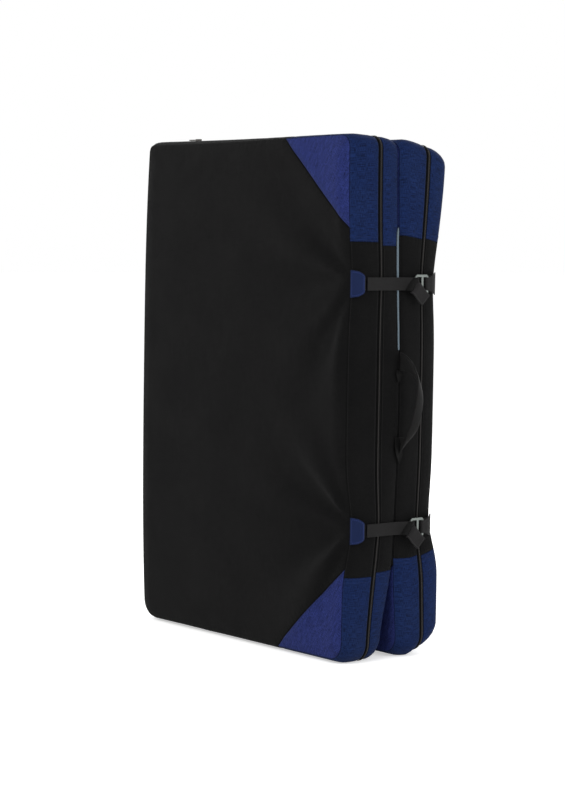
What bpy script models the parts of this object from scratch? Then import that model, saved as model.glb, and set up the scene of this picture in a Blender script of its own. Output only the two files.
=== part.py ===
"""Bouldering crash pad, folded in half and standing on its short end.

Metres, +Z up. X runs from the hinge edge (-X) to the strap edge (+X).
-Y is the outer face of the front half, +Y the outer face of the back half, which carries the harness.
"""

import math

import bmesh
import bpy
from mathutils import Matrix, Vector

# Pad body
PAD_WIDTH = 0.65
PAD_HEIGHT = 1.0
HALF_THICKNESS = 0.125
CORNER_RADIUS = 0.034
WALL_CROWN = 0.009
CROWN_POWER = 3
FLOOR_FLAT = 0.0005
SMOOTH_ANGLE = 40.0
MERGE_DISTANCE = 0.00001

# Fabric, foam and clearances
SKIN = 0.0009
SEAM_GAP = 0.0004
ZIP_SEAM_GAP = 0.0009
FOLD_GAP = 0.0003
FOAM_GAP = 0.0005
FOAM_WALL_GAP = 0.004
SHEET_FOAM = 0.02
LANDING_FOAM = 0.018

# Zip round the walls
ZIP_WIDTH = 0.011
ZIP_COIL_WIDTH = 0.005
ZIP_COIL_RISE = 0.0012
FRONT_ZIP_FROM_FOLD = 0.052
BACK_ZIP_FROM_FOLD = 0.072
ZIP_STOP_FROM_HINGE = 0.06
SLIDER_LENGTH = 0.012
SLIDER_WIDTH = 0.009
SLIDER_HEIGHT = 0.004
SLIDER_CLEARANCE = 0.0004
SLIDER_EDGE = 0.0003
SLIDER_NOSE_SHARE = 0.7
PULL_LENGTH = 0.024
PULL_THICKNESS = 0.0016

# Corner patches and wall wraps
PATCH_RUN_X = 0.195
PATCH_RUN_Z = 0.17
WRAP_TOP = 0.19
WRAP_BOTTOM = 0.175
WRAP_RUN_X = 0.195

# How the straps and the load pull the soft halves in
UPPER_STRAP_FROM_TOP = 0.265
UPPER_STRAP_Z = PAD_HEIGHT - UPPER_STRAP_FROM_TOP
LOWER_STRAP_Z = 0.26
FRONT_PULL_UPPER = 0.009
FRONT_PULL_LOWER = 0.019
FRONT_PULL_MIDDLE = 0.003
BACK_PULL_UPPER = 0.026
BACK_PULL_LOWER = 0.026
BACK_PULL_MIDDLE = 0.02
PULL_REACH_Z = 0.075
PULL_REACH_X = 0.16
BACK_END_DROP = 0.025
TOP_DROP_START_SHARE = 0.12
FOOT_DROP_START_SHARE = 0.38
HINGE_BULGE = 0.01
ROW_SHARES = (0.2, 0.4, 0.6, 0.8)
MIDDLE_BULGE = 0.015
LOWER_DRAW_IN = 0.013
LOWER_GAP_OPENING = 0.014
LOWER_GAP_HEIGHT = 0.2

# Hinge
HINGE_CLEARANCE = 0.002
HINGE_FABRIC_GAP = 0.0006
HINGE_FABRIC_WIDTH = 0.05
HINGE_FABRIC_END = 0.06
HINGE_SHARES = (-1.0, -0.4, 0.0, 0.4, 1.0)
HINGE_STEPS = 6

# Closure straps
WEBBING = 0.025
WEBBING_THICKNESS = 0.0016
TAB_HEIGHT = 0.052
TAB_LENGTH = 0.036
TAB_THICKNESS = 0.0024
STRAP_STANDOFF = 0.0018
SEWN_GAP = 0.0003
TAB_ROUND = 0.009
BAND_GAP = 0.0005
WEB_UNDER_TAB = 0.026
CREST_STEPS = 4
TAB_SHARES = ((0.0, 1.0, 0.0), (0.2, 0.95, 0.6), (0.45, 0.85, 1.0), (0.8, 0.6, 1.0), (1.0, 0.0, 1.0))
STRAP_TAIL_LENGTH = 0.034
TAIL_TURN_LENGTH = 0.014
TAIL_TURN_STEPS = 4
TAIL_ANGLE = 55.0
HOOK_START_Y = 0.03
HOOK_HEIGHT = 0.036
HOOK_THICKNESS = 0.003
HOOK_BAR = 0.005
HOOK_WEB_SLOT = 0.011
HOOK_OPEN_SLOT = 0.008
HOOK_SLOT_EASE = 0.001
HOOK_RADIUS = 0.004
BACK_TAB_HEIGHT = 0.048
LOOP_WEB = 0.025
LOOP_LEVEL_RUN = 0.016

# Carry handle
HANDLE_LENGTH = 0.186
HANDLE_BELOW_MIDDLE = 0.005
HANDLE_MIDDLE_Z = PAD_HEIGHT / 2 - HANDLE_BELOW_MIDDLE
HANDLE_TOP_Z = HANDLE_MIDDLE_Z + HANDLE_LENGTH / 2
HANDLE_WEB = 0.038
HANDLE_REACH = 0.058
HANDLE_ROLL = 0.014
HANDLE_FULL_SHARE = 0.8
HANDLE_ROLL_SHARE = 0.33
HANDLE_SHARES = (0.0, 0.07, 0.16, 0.28, 0.4, 0.5, 0.6, 0.72, 0.84, 0.93, 1.0)

# Lofted skins
OVAL_SHARE = 0.7
LOFT_SIDES = 12

# Edge trim beside the handle
TRIM_FROM_TOP = 0.15
TRIM_STEPS = 8
TRIM_WIDTH = 0.006
TRIM_THICKNESS = 0.002

# Harness on the back face
HARNESS_STANDOFF = 0.0003
SHOULDER_SPACING = 0.2
SHOULDER_FROM_TOP = 0.22
SHOULDER_TOP_Z = PAD_HEIGHT - SHOULDER_FROM_TOP
SHOULDER_FOOT_Z = 0.36
SHOULDER_PAD_LENGTH = SHOULDER_TOP_Z - SHOULDER_FOOT_Z
SHOULDER_PAD_WIDTH = 0.065
SHOULDER_PAD_THICKNESS = 0.014
SHOULDER_END_WIDTH = 0.04
LOWER_ANCHOR_Z = 0.2
ADJUSTER_WIDTH = 0.036
ADJUSTER_LENGTH = 0.03
ADJUSTER_THICKNESS = 0.004
YOKE_WIDTH = 0.3
YOKE_HEIGHT = 0.05
YOKE_THICKNESS = 0.003
BELT_Z = 0.14
BELT_HEIGHT = 0.085
BELT_END_HEIGHT = 0.04
BELT_WING_LENGTH = 0.19
BELT_THICKNESS = 0.012
BUCKLE_LENGTH = 0.035
BUCKLE_HEIGHT = 0.03
BUCKLE_THICKNESS = 0.008
BELT_GAP = 0.004
ADJUSTER_CORNER = 0.005
ADJUSTER_SLOT = 0.006
ADJUSTER_SLOT_SPACING = 0.014
SHOULDER_SHARES = (0.0, 0.05, 0.12, 0.2, 0.35, 0.5, 0.65, 0.8, 0.88, 0.95, 1.0)
SHOULDER_END_SHARE = 0.22
SHOULDER_THIN_SHARE = 0.45
BELT_SHARES = (0.0, 0.05, 0.15, 0.3, 0.5, 0.7, 0.85, 0.95, 1.0)
BELT_END_SHARE = 0.08
BELT_THIN_SHARE = 0.5
BELT_ROOT_SHARE = 0.2
BUCKLE_SHARES = ((0.0, 0.9, 0.9), (0.1, 1.0, 1.0), (0.55, 1.0, 1.0), (0.75, 0.85, 0.85), (0.97, 0.8, 0.5),
                 (1.0, 0.75, 0.4))
YOKE_SHARES = (-1.0, -0.5, 0.0, 0.5, 1.0)
LOWER_WEB_SHARES = (0.0, 0.25, 0.5, 0.75, 1.0)
REST_SHARE = 0.06
TOUCH_SHARE = 0.5

FRONT = -1
BACK = 1

parts = bpy.data.collections.new("crash_pad")


def clear_scene():
    for item in list(bpy.data.objects):
        bpy.data.objects.remove(item, do_unlink=True)
    bpy.context.scene.collection.children.link(parts)


def finish(name, red, green, blue, roughness, metallic=0.0):
    material = bpy.data.materials.new(name)
    material.use_nodes = True
    shader = material.node_tree.nodes["Principled BSDF"]
    shader.inputs["Base Color"].default_value = (red, green, blue, 1.0)
    shader.inputs["Roughness"].default_value = roughness
    shader.inputs["Metallic"].default_value = metallic
    return material


def make_object(name, bm, material, smooth=True):
    """Turns a finished bmesh into an object of its own."""
    bmesh.ops.recalc_face_normals(bm, faces=bm.faces)
    if bm.calc_volume(signed=True) < 0:
        bmesh.ops.reverse_faces(bm, faces=bm.faces)
    mesh = bpy.data.meshes.new(name)
    bm.to_mesh(mesh)
    bm.free()
    mesh.materials.append(material)
    if smooth:
        mesh.shade_smooth()
        mesh.set_sharp_from_angle(angle=math.radians(SMOOTH_ANGLE))
    item = bpy.data.objects.new(name, mesh)
    parts.objects.link(item)
    return item


# Form of a half

def bump(distance, reach):
    """A smooth hill of height 1 that fades out over the reach."""
    return math.exp(-(distance / reach) ** 2)


def ease(value):
    value = min(max(value, 0.0), 1.0)
    return value * value * (3.0 - 2.0 * value)


def round_corners(x, z):
    """Moves a point of the flat outline so that the outline's corners become arcs."""
    centre_x = PAD_WIDTH / 2 - CORNER_RADIUS
    centre_z = PAD_HEIGHT / 2 - CORNER_RADIUS
    from_middle = z - PAD_HEIGHT / 2
    over_x = abs(x) - centre_x
    over_z = abs(from_middle) - centre_z
    if over_x <= 0 or over_z <= 0:
        return x, z
    scale = max(over_x, over_z) / math.hypot(over_x, over_z)
    new_x = math.copysign(centre_x + over_x * scale, x)
    new_z = math.copysign(centre_z + over_z * scale, from_middle)
    return new_x, PAD_HEIGHT / 2 + new_z


def strap_pull(x, z, side):
    """How far the outer face is drawn towards the fold at a point."""
    upper = FRONT_PULL_UPPER if side == FRONT else BACK_PULL_UPPER
    lower = FRONT_PULL_LOWER if side == FRONT else BACK_PULL_LOWER
    middle = FRONT_PULL_MIDDLE if side == FRONT else BACK_PULL_MIDDLE
    from_edge = PAD_WIDTH / 2 - x
    along = bump(from_edge, PULL_REACH_X)
    between = ease((z - LOWER_STRAP_Z / 2) / (LOWER_STRAP_Z / 2))
    between *= ease((PAD_HEIGHT - z) / (PAD_HEIGHT - UPPER_STRAP_Z))
    local = (upper - middle) * bump(z - UPPER_STRAP_Z, PULL_REACH_Z)
    local += (lower - middle) * bump(z - LOWER_STRAP_Z, PULL_REACH_Z)
    return (middle * between + local) * along


def half_form(x, z, depth, side):
    """Place of a point of a half: depth 0 is at the fold, HALF_THICKNESS at the outer face."""
    share = depth / HALF_THICKNESS
    x, z = round_corners(x, z)
    crown = WALL_CROWN * (1.0 - abs(2.0 * share - 1.0) ** CROWN_POWER)
    to_strap_side = ease((x + PAD_WIDTH / 2) / PAD_WIDTH)
    height_scale = 1.0 + crown / (PAD_HEIGHT / 2)
    if side == BACK:
        start = TOP_DROP_START_SHARE if z > PAD_HEIGHT / 2 else FOOT_DROP_START_SHARE
        height_scale -= BACK_END_DROP * max(share - start, 0.0) / (1.0 - start) / (PAD_HEIGHT / 2)
    floor = FLOOR_FLAT - WALL_CROWN
    new_z = max(PAD_HEIGHT / 2 + (z - PAD_HEIGHT / 2) * height_scale, floor) - floor
    low = ease(1.0 - z / LOWER_GAP_HEIGHT)
    bulge = MIDDLE_BULGE * math.sin(math.pi * z / PAD_HEIGHT) ** 2
    if side == FRONT:
        bulge -= LOWER_DRAW_IN * low
    new_x = x * (1.0 + crown / (PAD_WIDTH / 2)) + bulge * (1.0 - share) ** 2 * to_strap_side
    new_depth = depth - strap_pull(x, z, side) * share
    new_depth += LOWER_GAP_OPENING * low * (1.0 - share) * to_strap_side
    full_arch = 1.0 - abs(2.0 * z / PAD_HEIGHT - 1.0) ** CROWN_POWER
    new_depth += HINGE_BULGE * full_arch * share * (1.0 - to_strap_side)
    return Vector((new_x, side * (FOLD_GAP + new_depth), new_z))


def grid_lines():
    """Places of the grid's lines across and up the pad, closer round the straps and in the corners."""
    half = PAD_WIDTH / 2
    across_shares = (-0.62, -0.3, 0.0, 0.28, 0.52, 0.74)
    across = [-half, -half + CORNER_RADIUS / 2, -half + CORNER_RADIUS]
    across += [share * half for share in across_shares]
    across += [half - CORNER_RADIUS, half - CORNER_RADIUS / 2, half]
    low_end = CORNER_RADIUS
    high_end = PAD_HEIGHT - CORNER_RADIUS
    upright = [0.0, low_end / 2, low_end, (low_end + LOWER_STRAP_Z) / 2]
    for height in (LOWER_STRAP_Z, UPPER_STRAP_Z):
        upright += [height - PULL_REACH_Z, height, height + PULL_REACH_Z]
    middle = (LOWER_STRAP_Z + UPPER_STRAP_Z) / 2
    upright += [middle, (UPPER_STRAP_Z + PULL_REACH_Z + high_end) / 2]
    upright += [high_end, (high_end + PAD_HEIGHT) / 2, PAD_HEIGHT]
    return across, sorted(upright)


def inset_line(value, low, high, inset):
    return min(max(value, low + inset), high - inset)


def flat_outline(depth, inset):
    """The half's flat outline as a grid at one depth."""
    across, upright = grid_lines()
    columns = len(across) - 1
    rows = len(upright) - 1
    bm = bmesh.new()
    bmesh.ops.create_grid(bm, x_segments=columns, y_segments=rows, size=1.0)
    for vert in bm.verts:
        x = across[round((vert.co.x + 1.0) / 2.0 * columns)]
        z = upright[round((vert.co.y + 1.0) / 2.0 * rows)]
        x = inset_line(x, -PAD_WIDTH / 2, PAD_WIDTH / 2, inset)
        vert.co = Vector((x, depth, inset_line(z, 0.0, PAD_HEIGHT, inset)))
    return bm


def put_in_form(bm, side):
    """Gives a flat outline and its walls the padded form of a half."""
    bmesh.ops.triangulate(bm, faces=bm.faces, quad_method="FIXED")
    for vert in bm.verts:
        vert.co = half_form(vert.co.x, vert.co.z, vert.co.y, side)


def slab(side, low, high, inset=0.0):
    """A solid layer of a half between two depths."""
    bm = flat_outline(low, inset)
    bmesh.ops.triangulate(bm, faces=bm.faces, quad_method="FIXED")
    grown = bmesh.ops.extrude_face_region(bm, geom=list(bm.faces), use_keep_orig=True)
    moved = [item for item in grown["geom"] if isinstance(item, bmesh.types.BMVert)]
    bmesh.ops.translate(bm, verts=moved, vec=Vector((0.0, high - low, 0.0)))
    put_in_form(bm, side)
    return bm


def open_wall(side, depths):
    """The skin that goes round a half, with a row of points at each depth."""
    bm = flat_outline(depths[0], 0.0)
    inner = [vert for vert in bm.verts if not vert.is_boundary]
    bmesh.ops.delete(bm, geom=inner, context="VERTS")
    row = list(bm.edges)
    for start, end in zip(depths, depths[1:]):
        grown = bmesh.ops.extrude_edge_only(bm, edges=row)
        moved = [item for item in grown["geom"] if isinstance(item, bmesh.types.BMVert)]
        bmesh.ops.translate(bm, verts=moved, vec=Vector((0.0, end - start, 0.0)))
        row = [item for item in grown["geom"] if isinstance(item, bmesh.types.BMEdge)]
    put_in_form(bm, side)
    bm.normal_update()
    middle = Vector((0.0, 0.0, PAD_HEIGHT / 2))
    if sum(face.normal.dot(face.calc_center_median() - middle) for face in bm.faces) < 0:
        bmesh.ops.reverse_faces(bm, faces=bm.faces)
        bm.normal_update()
    return bm


def cut(bm, point, normal):
    """Cuts away what lies beyond a plane and closes the cut."""
    geom = list(bm.verts) + list(bm.edges) + list(bm.faces)
    bmesh.ops.bisect_plane(bm, geom=geom, plane_co=point, plane_no=normal, clear_outer=True)
    open_edges = [edge for edge in bm.edges if edge.is_boundary]
    bmesh.ops.holes_fill(bm, edges=open_edges)


def half_name(side):
    return "front" if side == FRONT else "back"


def patch_planes(side, top):
    """The slanted seam between a face and its corner patch: a point on it and its normal to the corner."""
    seam_z = half_form(PAD_WIDTH / 2, PAD_HEIGHT if top else 0.0, HALF_THICKNESS, side).z
    direction = 1.0 if top else -1.0
    normal = Vector((PATCH_RUN_Z, 0.0, direction * PATCH_RUN_X)).normalized()
    point = Vector((PAD_WIDTH / 2 - PATCH_RUN_X, 0.0, seam_z))
    return point, normal


def make_face(side, low, high, face_name, black, blue):
    """A face panel with a corner patch at each end of the strap edge."""
    shift = SEAM_GAP / 2
    panel = slab(side, low, high)
    for top in (True, False):
        point, normal = patch_planes(side, top)
        cut(panel, point - normal * shift, normal)
        patch = slab(side, low, high)
        cut(patch, point + normal * shift, -normal)
        end = "top" if top else "bottom"
        make_object(f"{half_name(side)}_{face_name}_patch_{end}", patch, blue)
    make_object(f"{half_name(side)}_{face_name}_panel", panel, black)


def make_wall(side, depths, strip_name, black, blue):
    """A wall strip in four sewn lengths: hinge run, two blue corner wraps and the run between them."""
    base = f"{half_name(side)}_{strip_name}"
    shift = SEAM_GAP / 2
    right = Vector((1.0, 0.0, 0.0))
    up = Vector((0.0, 0.0, 1.0))
    wrap_x = Vector((PAD_WIDTH / 2 - WRAP_RUN_X, 0.0, 0.0))
    top_z = up * (PAD_HEIGHT - WRAP_TOP)
    bottom_z = up * WRAP_BOTTOM
    runs = {
        "hinge_run": ((wrap_x - right * shift, right),),
        "wrap_top": ((wrap_x + right * shift, -right), (top_z + up * shift, -up)),
        "middle": ((wrap_x + right * shift, -right), (top_z - up * shift, up),
                   (bottom_z + up * shift, -up)),
        "wrap_bottom": ((wrap_x + right * shift, -right), (bottom_z - up * shift, up)),
    }
    for run, planes in runs.items():
        strip = open_wall(side, depths)
        bmesh.ops.solidify(strip, geom=list(strip.faces), thickness=SKIN)
        for point, normal in planes:
            cut(strip, point, normal)
        make_object(f"{base}_{run}", strip, blue if "wrap" in run else black)


def zip_centre(side):
    return FRONT_ZIP_FROM_FOLD if side == FRONT else BACK_ZIP_FROM_FOLD


def make_zip(side, material):
    """Zip tape round the wall. Its coil stands up along three sides and stops short of the hinge."""
    centre = zip_centre(side)
    depths = (centre - ZIP_WIDTH / 2, centre - ZIP_COIL_WIDTH / 2, centre,
              centre + ZIP_COIL_WIDTH / 2, centre + ZIP_WIDTH / 2)
    tape = open_wall(side, depths)
    for vert in tape.verts:
        if not vert.is_boundary and vert.co.x > ZIP_STOP_FROM_HINGE - PAD_WIDTH / 2:
            outward = Vector((vert.normal.x, 0.0, vert.normal.z)).normalized()
            vert.co += outward * ZIP_COIL_RISE
            vert.co.z = max(vert.co.z, 0.0)
    tape.normal_update()
    bmesh.ops.solidify(tape, geom=list(tape.faces), thickness=SKIN)
    make_object(f"{half_name(side)}_zip", tape, material)


def wall_rows(low, high):
    """Depths of a wall strip's rows of points: its two edges and the shared rows between them."""
    shared = [share * HALF_THICKNESS for share in ROW_SHARES]
    inner = [depth for depth in shared if low + ZIP_COIL_WIDTH < depth < high - ZIP_COIL_WIDTH]
    return [low] + inner + [high]


def make_half(side, looks):
    """Cover, zip and foam of one half."""
    name = half_name(side)
    outer_top = HALF_THICKNESS
    cover_low = SKIN + SEAM_GAP
    cover_high = HALF_THICKNESS - SKIN - SEAM_GAP
    zip_low = zip_centre(side) - ZIP_WIDTH / 2 - ZIP_SEAM_GAP
    zip_high = zip_centre(side) + ZIP_WIDTH / 2 + ZIP_SEAM_GAP
    make_face(side, outer_top - SKIN, outer_top, "outer", looks["black"], looks["patch"])
    make_face(side, 0.0, SKIN, "landing", looks["landing"], looks["patch"])
    make_wall(side, wall_rows(zip_high, cover_high), "outer_wall", looks["black"], looks["wall"])
    make_wall(side, wall_rows(cover_low, zip_low), "inner_wall", looks["black"], looks["wall"])
    make_zip(side, looks["zip"])
    foam_low = SKIN + FOAM_GAP
    foam_high = HALF_THICKNESS - SKIN - FOAM_GAP
    landing_top = foam_low + LANDING_FOAM
    base_low = foam_high - SHEET_FOAM
    layers = {
        "foam_landing": (foam_low, landing_top, looks["foam_firm"]),
        "foam_core": (landing_top + FOAM_GAP, base_low - FOAM_GAP, looks["foam_soft"]),
        "foam_base": (base_low, foam_high, looks["foam_firm"]),
    }
    for layer, (low, high, material) in layers.items():
        make_object(f"{name}_{layer}", slab(side, low, high, SKIN + FOAM_WALL_GAP), material)


# Bands of webbing and fabric

def band(name, stations, thickness, material):
    """A flat band: each station is its middle point and the half width to its upper edge."""
    bm = bmesh.new()
    rows = []
    for centre, half_width in stations:
        centre = Vector(centre)
        half_width = Vector(half_width)
        rows.append([bm.verts.new(centre - half_width), bm.verts.new(centre + half_width)])
    for before, after in zip(rows, rows[1:]):
        bm.faces.new((before[0], after[0], after[1], before[1]))
    mesh = bpy.data.meshes.new(name)
    bm.to_mesh(mesh)
    bm.free()
    mesh.materials.append(material)
    item = bpy.data.objects.new(name, mesh)
    parts.objects.link(item)
    wall = item.modifiers.new("wall", "SOLIDIFY")
    wall.thickness = thickness
    wall.offset = 0.0
    wall.use_even_offset = True
    return item


def wall_x(y, z):
    """How far out the strap wall of either half stands at a place."""
    side = FRONT if y < 0 else BACK
    depth = min(abs(y), HALF_THICKNESS)
    return half_form(PAD_WIDTH / 2, z, depth, side).x


def seam_x(y, z, lift):
    """Where a band lies that is sewn down to the strap wall at a place."""
    return max(wall_x(y, z + half) for half in (-TAB_HEIGHT / 2, 0.0, TAB_HEIGHT / 2)) + lift


def taut_x(z, lift):
    """Where a band lies that is pulled tight over both halves: it bridges the valley between them."""
    steps = range(-CREST_STEPS, CREST_STEPS + 1)
    return max(seam_x(HALF_THICKNESS / 2 * step / CREST_STEPS, z, lift) for step in steps)


def face_y(x, z, side):
    """Place of a half's outer face."""
    return half_form(x, z, HALF_THICKNESS, side).y


def hook_span():
    """Bars and slots of a hook plate from its strap side to its loop side."""
    return HOOK_BAR * 3 + HOOK_WEB_SLOT + HOOK_OPEN_SLOT


def hook_layers(z):
    """How far out the strap's tail, the loop's inner side, the hook and what goes over it lie."""
    tail_x = taut_x(z, STRAP_STANDOFF + WEBBING_THICKNESS / 2)
    loop_x = tail_x + WEBBING_THICKNESS + BAND_GAP
    plate_x = loop_x + WEBBING_THICKNESS / 2 + BAND_GAP + HOOK_THICKNESS / 2
    over_x = plate_x + HOOK_THICKNESS / 2 + BAND_GAP + WEBBING_THICKNESS / 2
    return {"tail": tail_x, "loop": loop_x, "plate": plate_x, "over": over_x}


def make_hook(name, x, y_start, z, material):
    """A flat plate with a closed slot for the webbing and a slot open at the bottom for the loop."""
    outline = bpy.data.curves.new(name, "CURVE")
    outline.dimensions = "2D"
    outline.fill_mode = "BOTH"
    outline.extrude = HOOK_THICKNESS / 2
    span = hook_span()
    half = HOOK_HEIGHT / 2
    open_left = HOOK_BAR * 2 + HOOK_WEB_SLOT
    open_right = open_left + HOOK_OPEN_SLOT
    chamfer = HOOK_RADIUS
    plate = [
        (chamfer, -half), (open_left, -half), (open_left, half - HOOK_BAR), (open_right, half - HOOK_BAR),
        (open_right, -half), (span - chamfer / 2, -half), (span, -half + chamfer / 2),
        (span, half - chamfer), (span - chamfer, half), (chamfer, half), (0.0, half - chamfer),
        (0.0, -half + chamfer),
    ]
    slot_half = WEBBING / 2 + HOOK_SLOT_EASE
    slot = [
        (HOOK_BAR, -slot_half), (HOOK_BAR, slot_half),
        (HOOK_BAR + HOOK_WEB_SLOT, slot_half), (HOOK_BAR + HOOK_WEB_SLOT, -slot_half),
    ]
    for points in (plate, slot):
        spline = outline.splines.new("POLY")
        spline.points.add(len(points) - 1)
        spline.use_cyclic_u = True
        for point, (across, upright) in zip(spline.points, points):
            point.co = (across, upright, 0.0, 1.0)
    flat = bpy.data.objects.new(name + "_outline", outline)
    parts.objects.link(flat)
    bpy.context.view_layer.update()
    evaluated = flat.evaluated_get(bpy.context.evaluated_depsgraph_get())
    mesh = bpy.data.meshes.new_from_object(evaluated)
    bm = bmesh.new()
    bm.from_mesh(mesh)
    bpy.data.objects.remove(flat, do_unlink=True)
    bpy.data.meshes.remove(mesh)
    bmesh.ops.remove_doubles(bm, verts=bm.verts, dist=MERGE_DISTANCE)
    turn = Matrix(((0.0, 0.0, 1.0, x), (1.0, 0.0, 0.0, y_start), (0.0, 1.0, 0.0, z), (0.0, 0.0, 0.0, 1.0)))
    bmesh.ops.transform(bm, verts=bm.verts, matrix=turn)
    return make_object(name, bm, material, smooth=False)


def make_closure(name, z, looks):
    """One closure strap on the front half: its sewn tab, its webbing and its hook."""
    up = Vector((0.0, 0.0, 1.0))
    web_half = up * WEBBING / 2
    seam_y = half_form(PAD_WIDTH / 2, z, HALF_THICKNESS, FRONT).y
    web_lift = STRAP_STANDOFF + WEBBING_THICKNESS / 2
    tab_lift = STRAP_STANDOFF + WEBBING_THICKNESS + BAND_GAP + TAB_THICKNESS / 2
    tab_half = up * TAB_HEIGHT / 2
    end_half = up * (TAB_HEIGHT / 2 - TAB_ROUND)
    tab_end = seam_y + TAB_LENGTH
    first = seam_y + TAB_THICKNESS
    sewn_x = seam_x(first, z, SEWN_GAP + TAB_THICKNESS / 2)
    flat_x = taut_x(z, tab_lift)
    tab = []
    for length_share, width_share, rise_share in TAB_SHARES:
        half = end_half + (tab_half - end_half) * width_share
        x = sewn_x + (flat_x - sewn_x) * rise_share
        tab.append(((x, first + (tab_end - first) * length_share, z), half))
    band(f"{name}_strap_tab", tab, TAB_THICKNESS, looks["patch"])

    layers = hook_layers(z)
    tail_x, plate_x, over_x = layers["tail"], layers["plate"], layers["over"]
    bar_end = HOOK_START_Y + HOOK_BAR
    slot_end = bar_end + HOOK_WEB_SLOT
    web_start = first + WEB_UNDER_TAB
    stations = [((taut_x(z, web_lift), y, z), web_half) for y in (web_start, tab_end, 0.0)]
    stations += [((over_x, HOOK_START_Y - BAND_GAP * 4, z), web_half)]
    stations += [((over_x, bar_end + BAND_GAP, z), web_half), ((tail_x, slot_end - BAND_GAP, z), web_half)]
    place = Vector((tail_x, slot_end - BAND_GAP, z))
    turn = 0.0
    for _ in range(TAIL_TURN_STEPS):
        turn += math.radians(TAIL_ANGLE) / TAIL_TURN_STEPS
        place = place + Vector((0.0, math.cos(turn), -math.sin(turn))) * TAIL_TURN_LENGTH / TAIL_TURN_STEPS
        stations.append((place, Matrix.Rotation(-turn, 3, "X") @ web_half))
    place = place + Vector((0.0, math.cos(turn), -math.sin(turn))) * (STRAP_TAIL_LENGTH - TAIL_TURN_LENGTH)
    stations.append((place, Matrix.Rotation(-turn, 3, "X") @ web_half))
    band(f"{name}_strap", stations, WEBBING_THICKNESS, looks["webbing"])
    make_hook(f"{name}_hook", plate_x, HOOK_START_Y, z, looks["metal"])


def make_loop_tab(name, z, looks):
    """The black tab sewn to the back half: it narrows to webbing, goes through the hook and comes back."""
    up = Vector((0.0, 0.0, 1.0))
    layers = hook_layers(z)
    under_x, over_x = layers["loop"], layers["over"]
    bar_start = HOOK_START_Y + hook_span() - HOOK_BAR
    bar_end = HOOK_START_Y + hook_span()
    slot_y = bar_start - BAND_GAP * 3 - WEBBING_THICKNESS / 2
    layer = WEBBING_THICKNESS + BAND_GAP
    seam_y = half_form(PAD_WIDTH / 2, z, HALF_THICKNESS, BACK).y - TAB_THICKNESS
    level_y = bar_end + LOOP_LEVEL_RUN
    sewn_x = seam_x(seam_y, z, SEWN_GAP + WEBBING_THICKNESS / 2)
    loop_half = up * LOOP_WEB / 2
    tab_half = up * BACK_TAB_HEIGHT / 2
    taper_half = (tab_half + loop_half) / 2
    stations = [
        ((sewn_x, seam_y, z), tab_half),
        ((under_x, level_y, z), taper_half),
        ((under_x, slot_y, z), loop_half),
        ((over_x, slot_y, z), loop_half),
        ((over_x, bar_end, z), loop_half),
        ((under_x + layer, level_y, z), taper_half),
        ((sewn_x + layer, seam_y - TAB_THICKNESS, z), tab_half),
    ]
    band(name, stations, WEBBING_THICKNESS, looks["webbing"])


def loft(name, sections, material, sides=LOFT_SIDES):
    """A closed skin over oval sections: each is its middle, half width and half thickness as vectors."""
    bm = bmesh.new()
    rings = []
    for centre, wide, thick in sections:
        ring = []
        for step in range(sides):
            angle = 2.0 * math.pi * step / sides
            across = math.copysign(abs(math.cos(angle)) ** OVAL_SHARE, math.cos(angle))
            through = math.copysign(abs(math.sin(angle)) ** OVAL_SHARE, math.sin(angle))
            place = Vector(centre) + Vector(wide) * across + Vector(thick) * through
            ring.append(bm.verts.new(place))
        rings.append(ring)
    for before, after in zip(rings, rings[1:]):
        for step in range(sides):
            following = (step + 1) % sides
            bm.faces.new((before[step], before[following], after[following], after[step]))
    bm.faces.new(rings[0])
    bm.faces.new(list(reversed(rings[-1])))
    return make_object(name, bm, material)


def handle_seat_x(z):
    """Where the handle's webbing comes out of the seam between the halves."""
    reach = WEBBING_THICKNESS * 2
    places = [(y, z + lift) for y in (-reach, reach) for lift in (-HANDLE_WEB / 2, 0.0, HANDLE_WEB / 2)]
    return max(wall_x(y, height) for y, height in places) + SEAM_GAP


def make_handle(looks):
    """Carry handle: webbing that lies flat at its two anchors and is rolled into a grip between them."""
    sections = []
    for share in HANDLE_SHARES:
        angle = math.pi * share
        roll = math.sin(angle) ** 2
        flat_end = 1.0 - roll
        z = HANDLE_MIDDLE_Z + HANDLE_LENGTH / 2 * math.cos(angle)
        out = HANDLE_REACH * max(math.sin(angle), 0.0) ** HANDLE_FULL_SHARE
        normal = Vector((math.sin(angle), 0.0, math.cos(angle)))
        upright = Vector((0.0, 0.0, HANDLE_WEB / 2)) * math.copysign(flat_end, math.cos(angle))
        wide = upright + Vector((0.0, -HANDLE_ROLL / 2, 0.0)) * roll
        thick = Vector((0.0, WEBBING_THICKNESS, 0.0)) * flat_end
        thick += normal * HANDLE_ROLL * HANDLE_ROLL_SHARE * roll
        sections.append(((handle_seat_x(z) + out, 0.0, z), wide, thick))
    loft("carry_handle", sections, looks["webbing"])


def make_trim(looks):
    """Thin piping on the front half's inner seam, from the handle up to its cut end."""
    outline = []
    low = HANDLE_TOP_Z + HANDLE_WEB / 2 + SEAM_GAP
    high = PAD_HEIGHT - TRIM_FROM_TOP
    for step in range(TRIM_STEPS + 1):
        z = low + (high - low) * step / TRIM_STEPS
        wall = max(half_form(PAD_WIDTH / 2, z, depth, FRONT).x for depth in (SKIN, SKIN + TRIM_WIDTH))
        x = wall + SEWN_GAP + TRIM_THICKNESS / 2
        outline.append(((x, -SKIN - TRIM_WIDTH / 2, z), (0.0, TRIM_WIDTH / 2, 0.0)))
    band("edge_trim", outline, TRIM_THICKNESS, looks["trim"])


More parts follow.
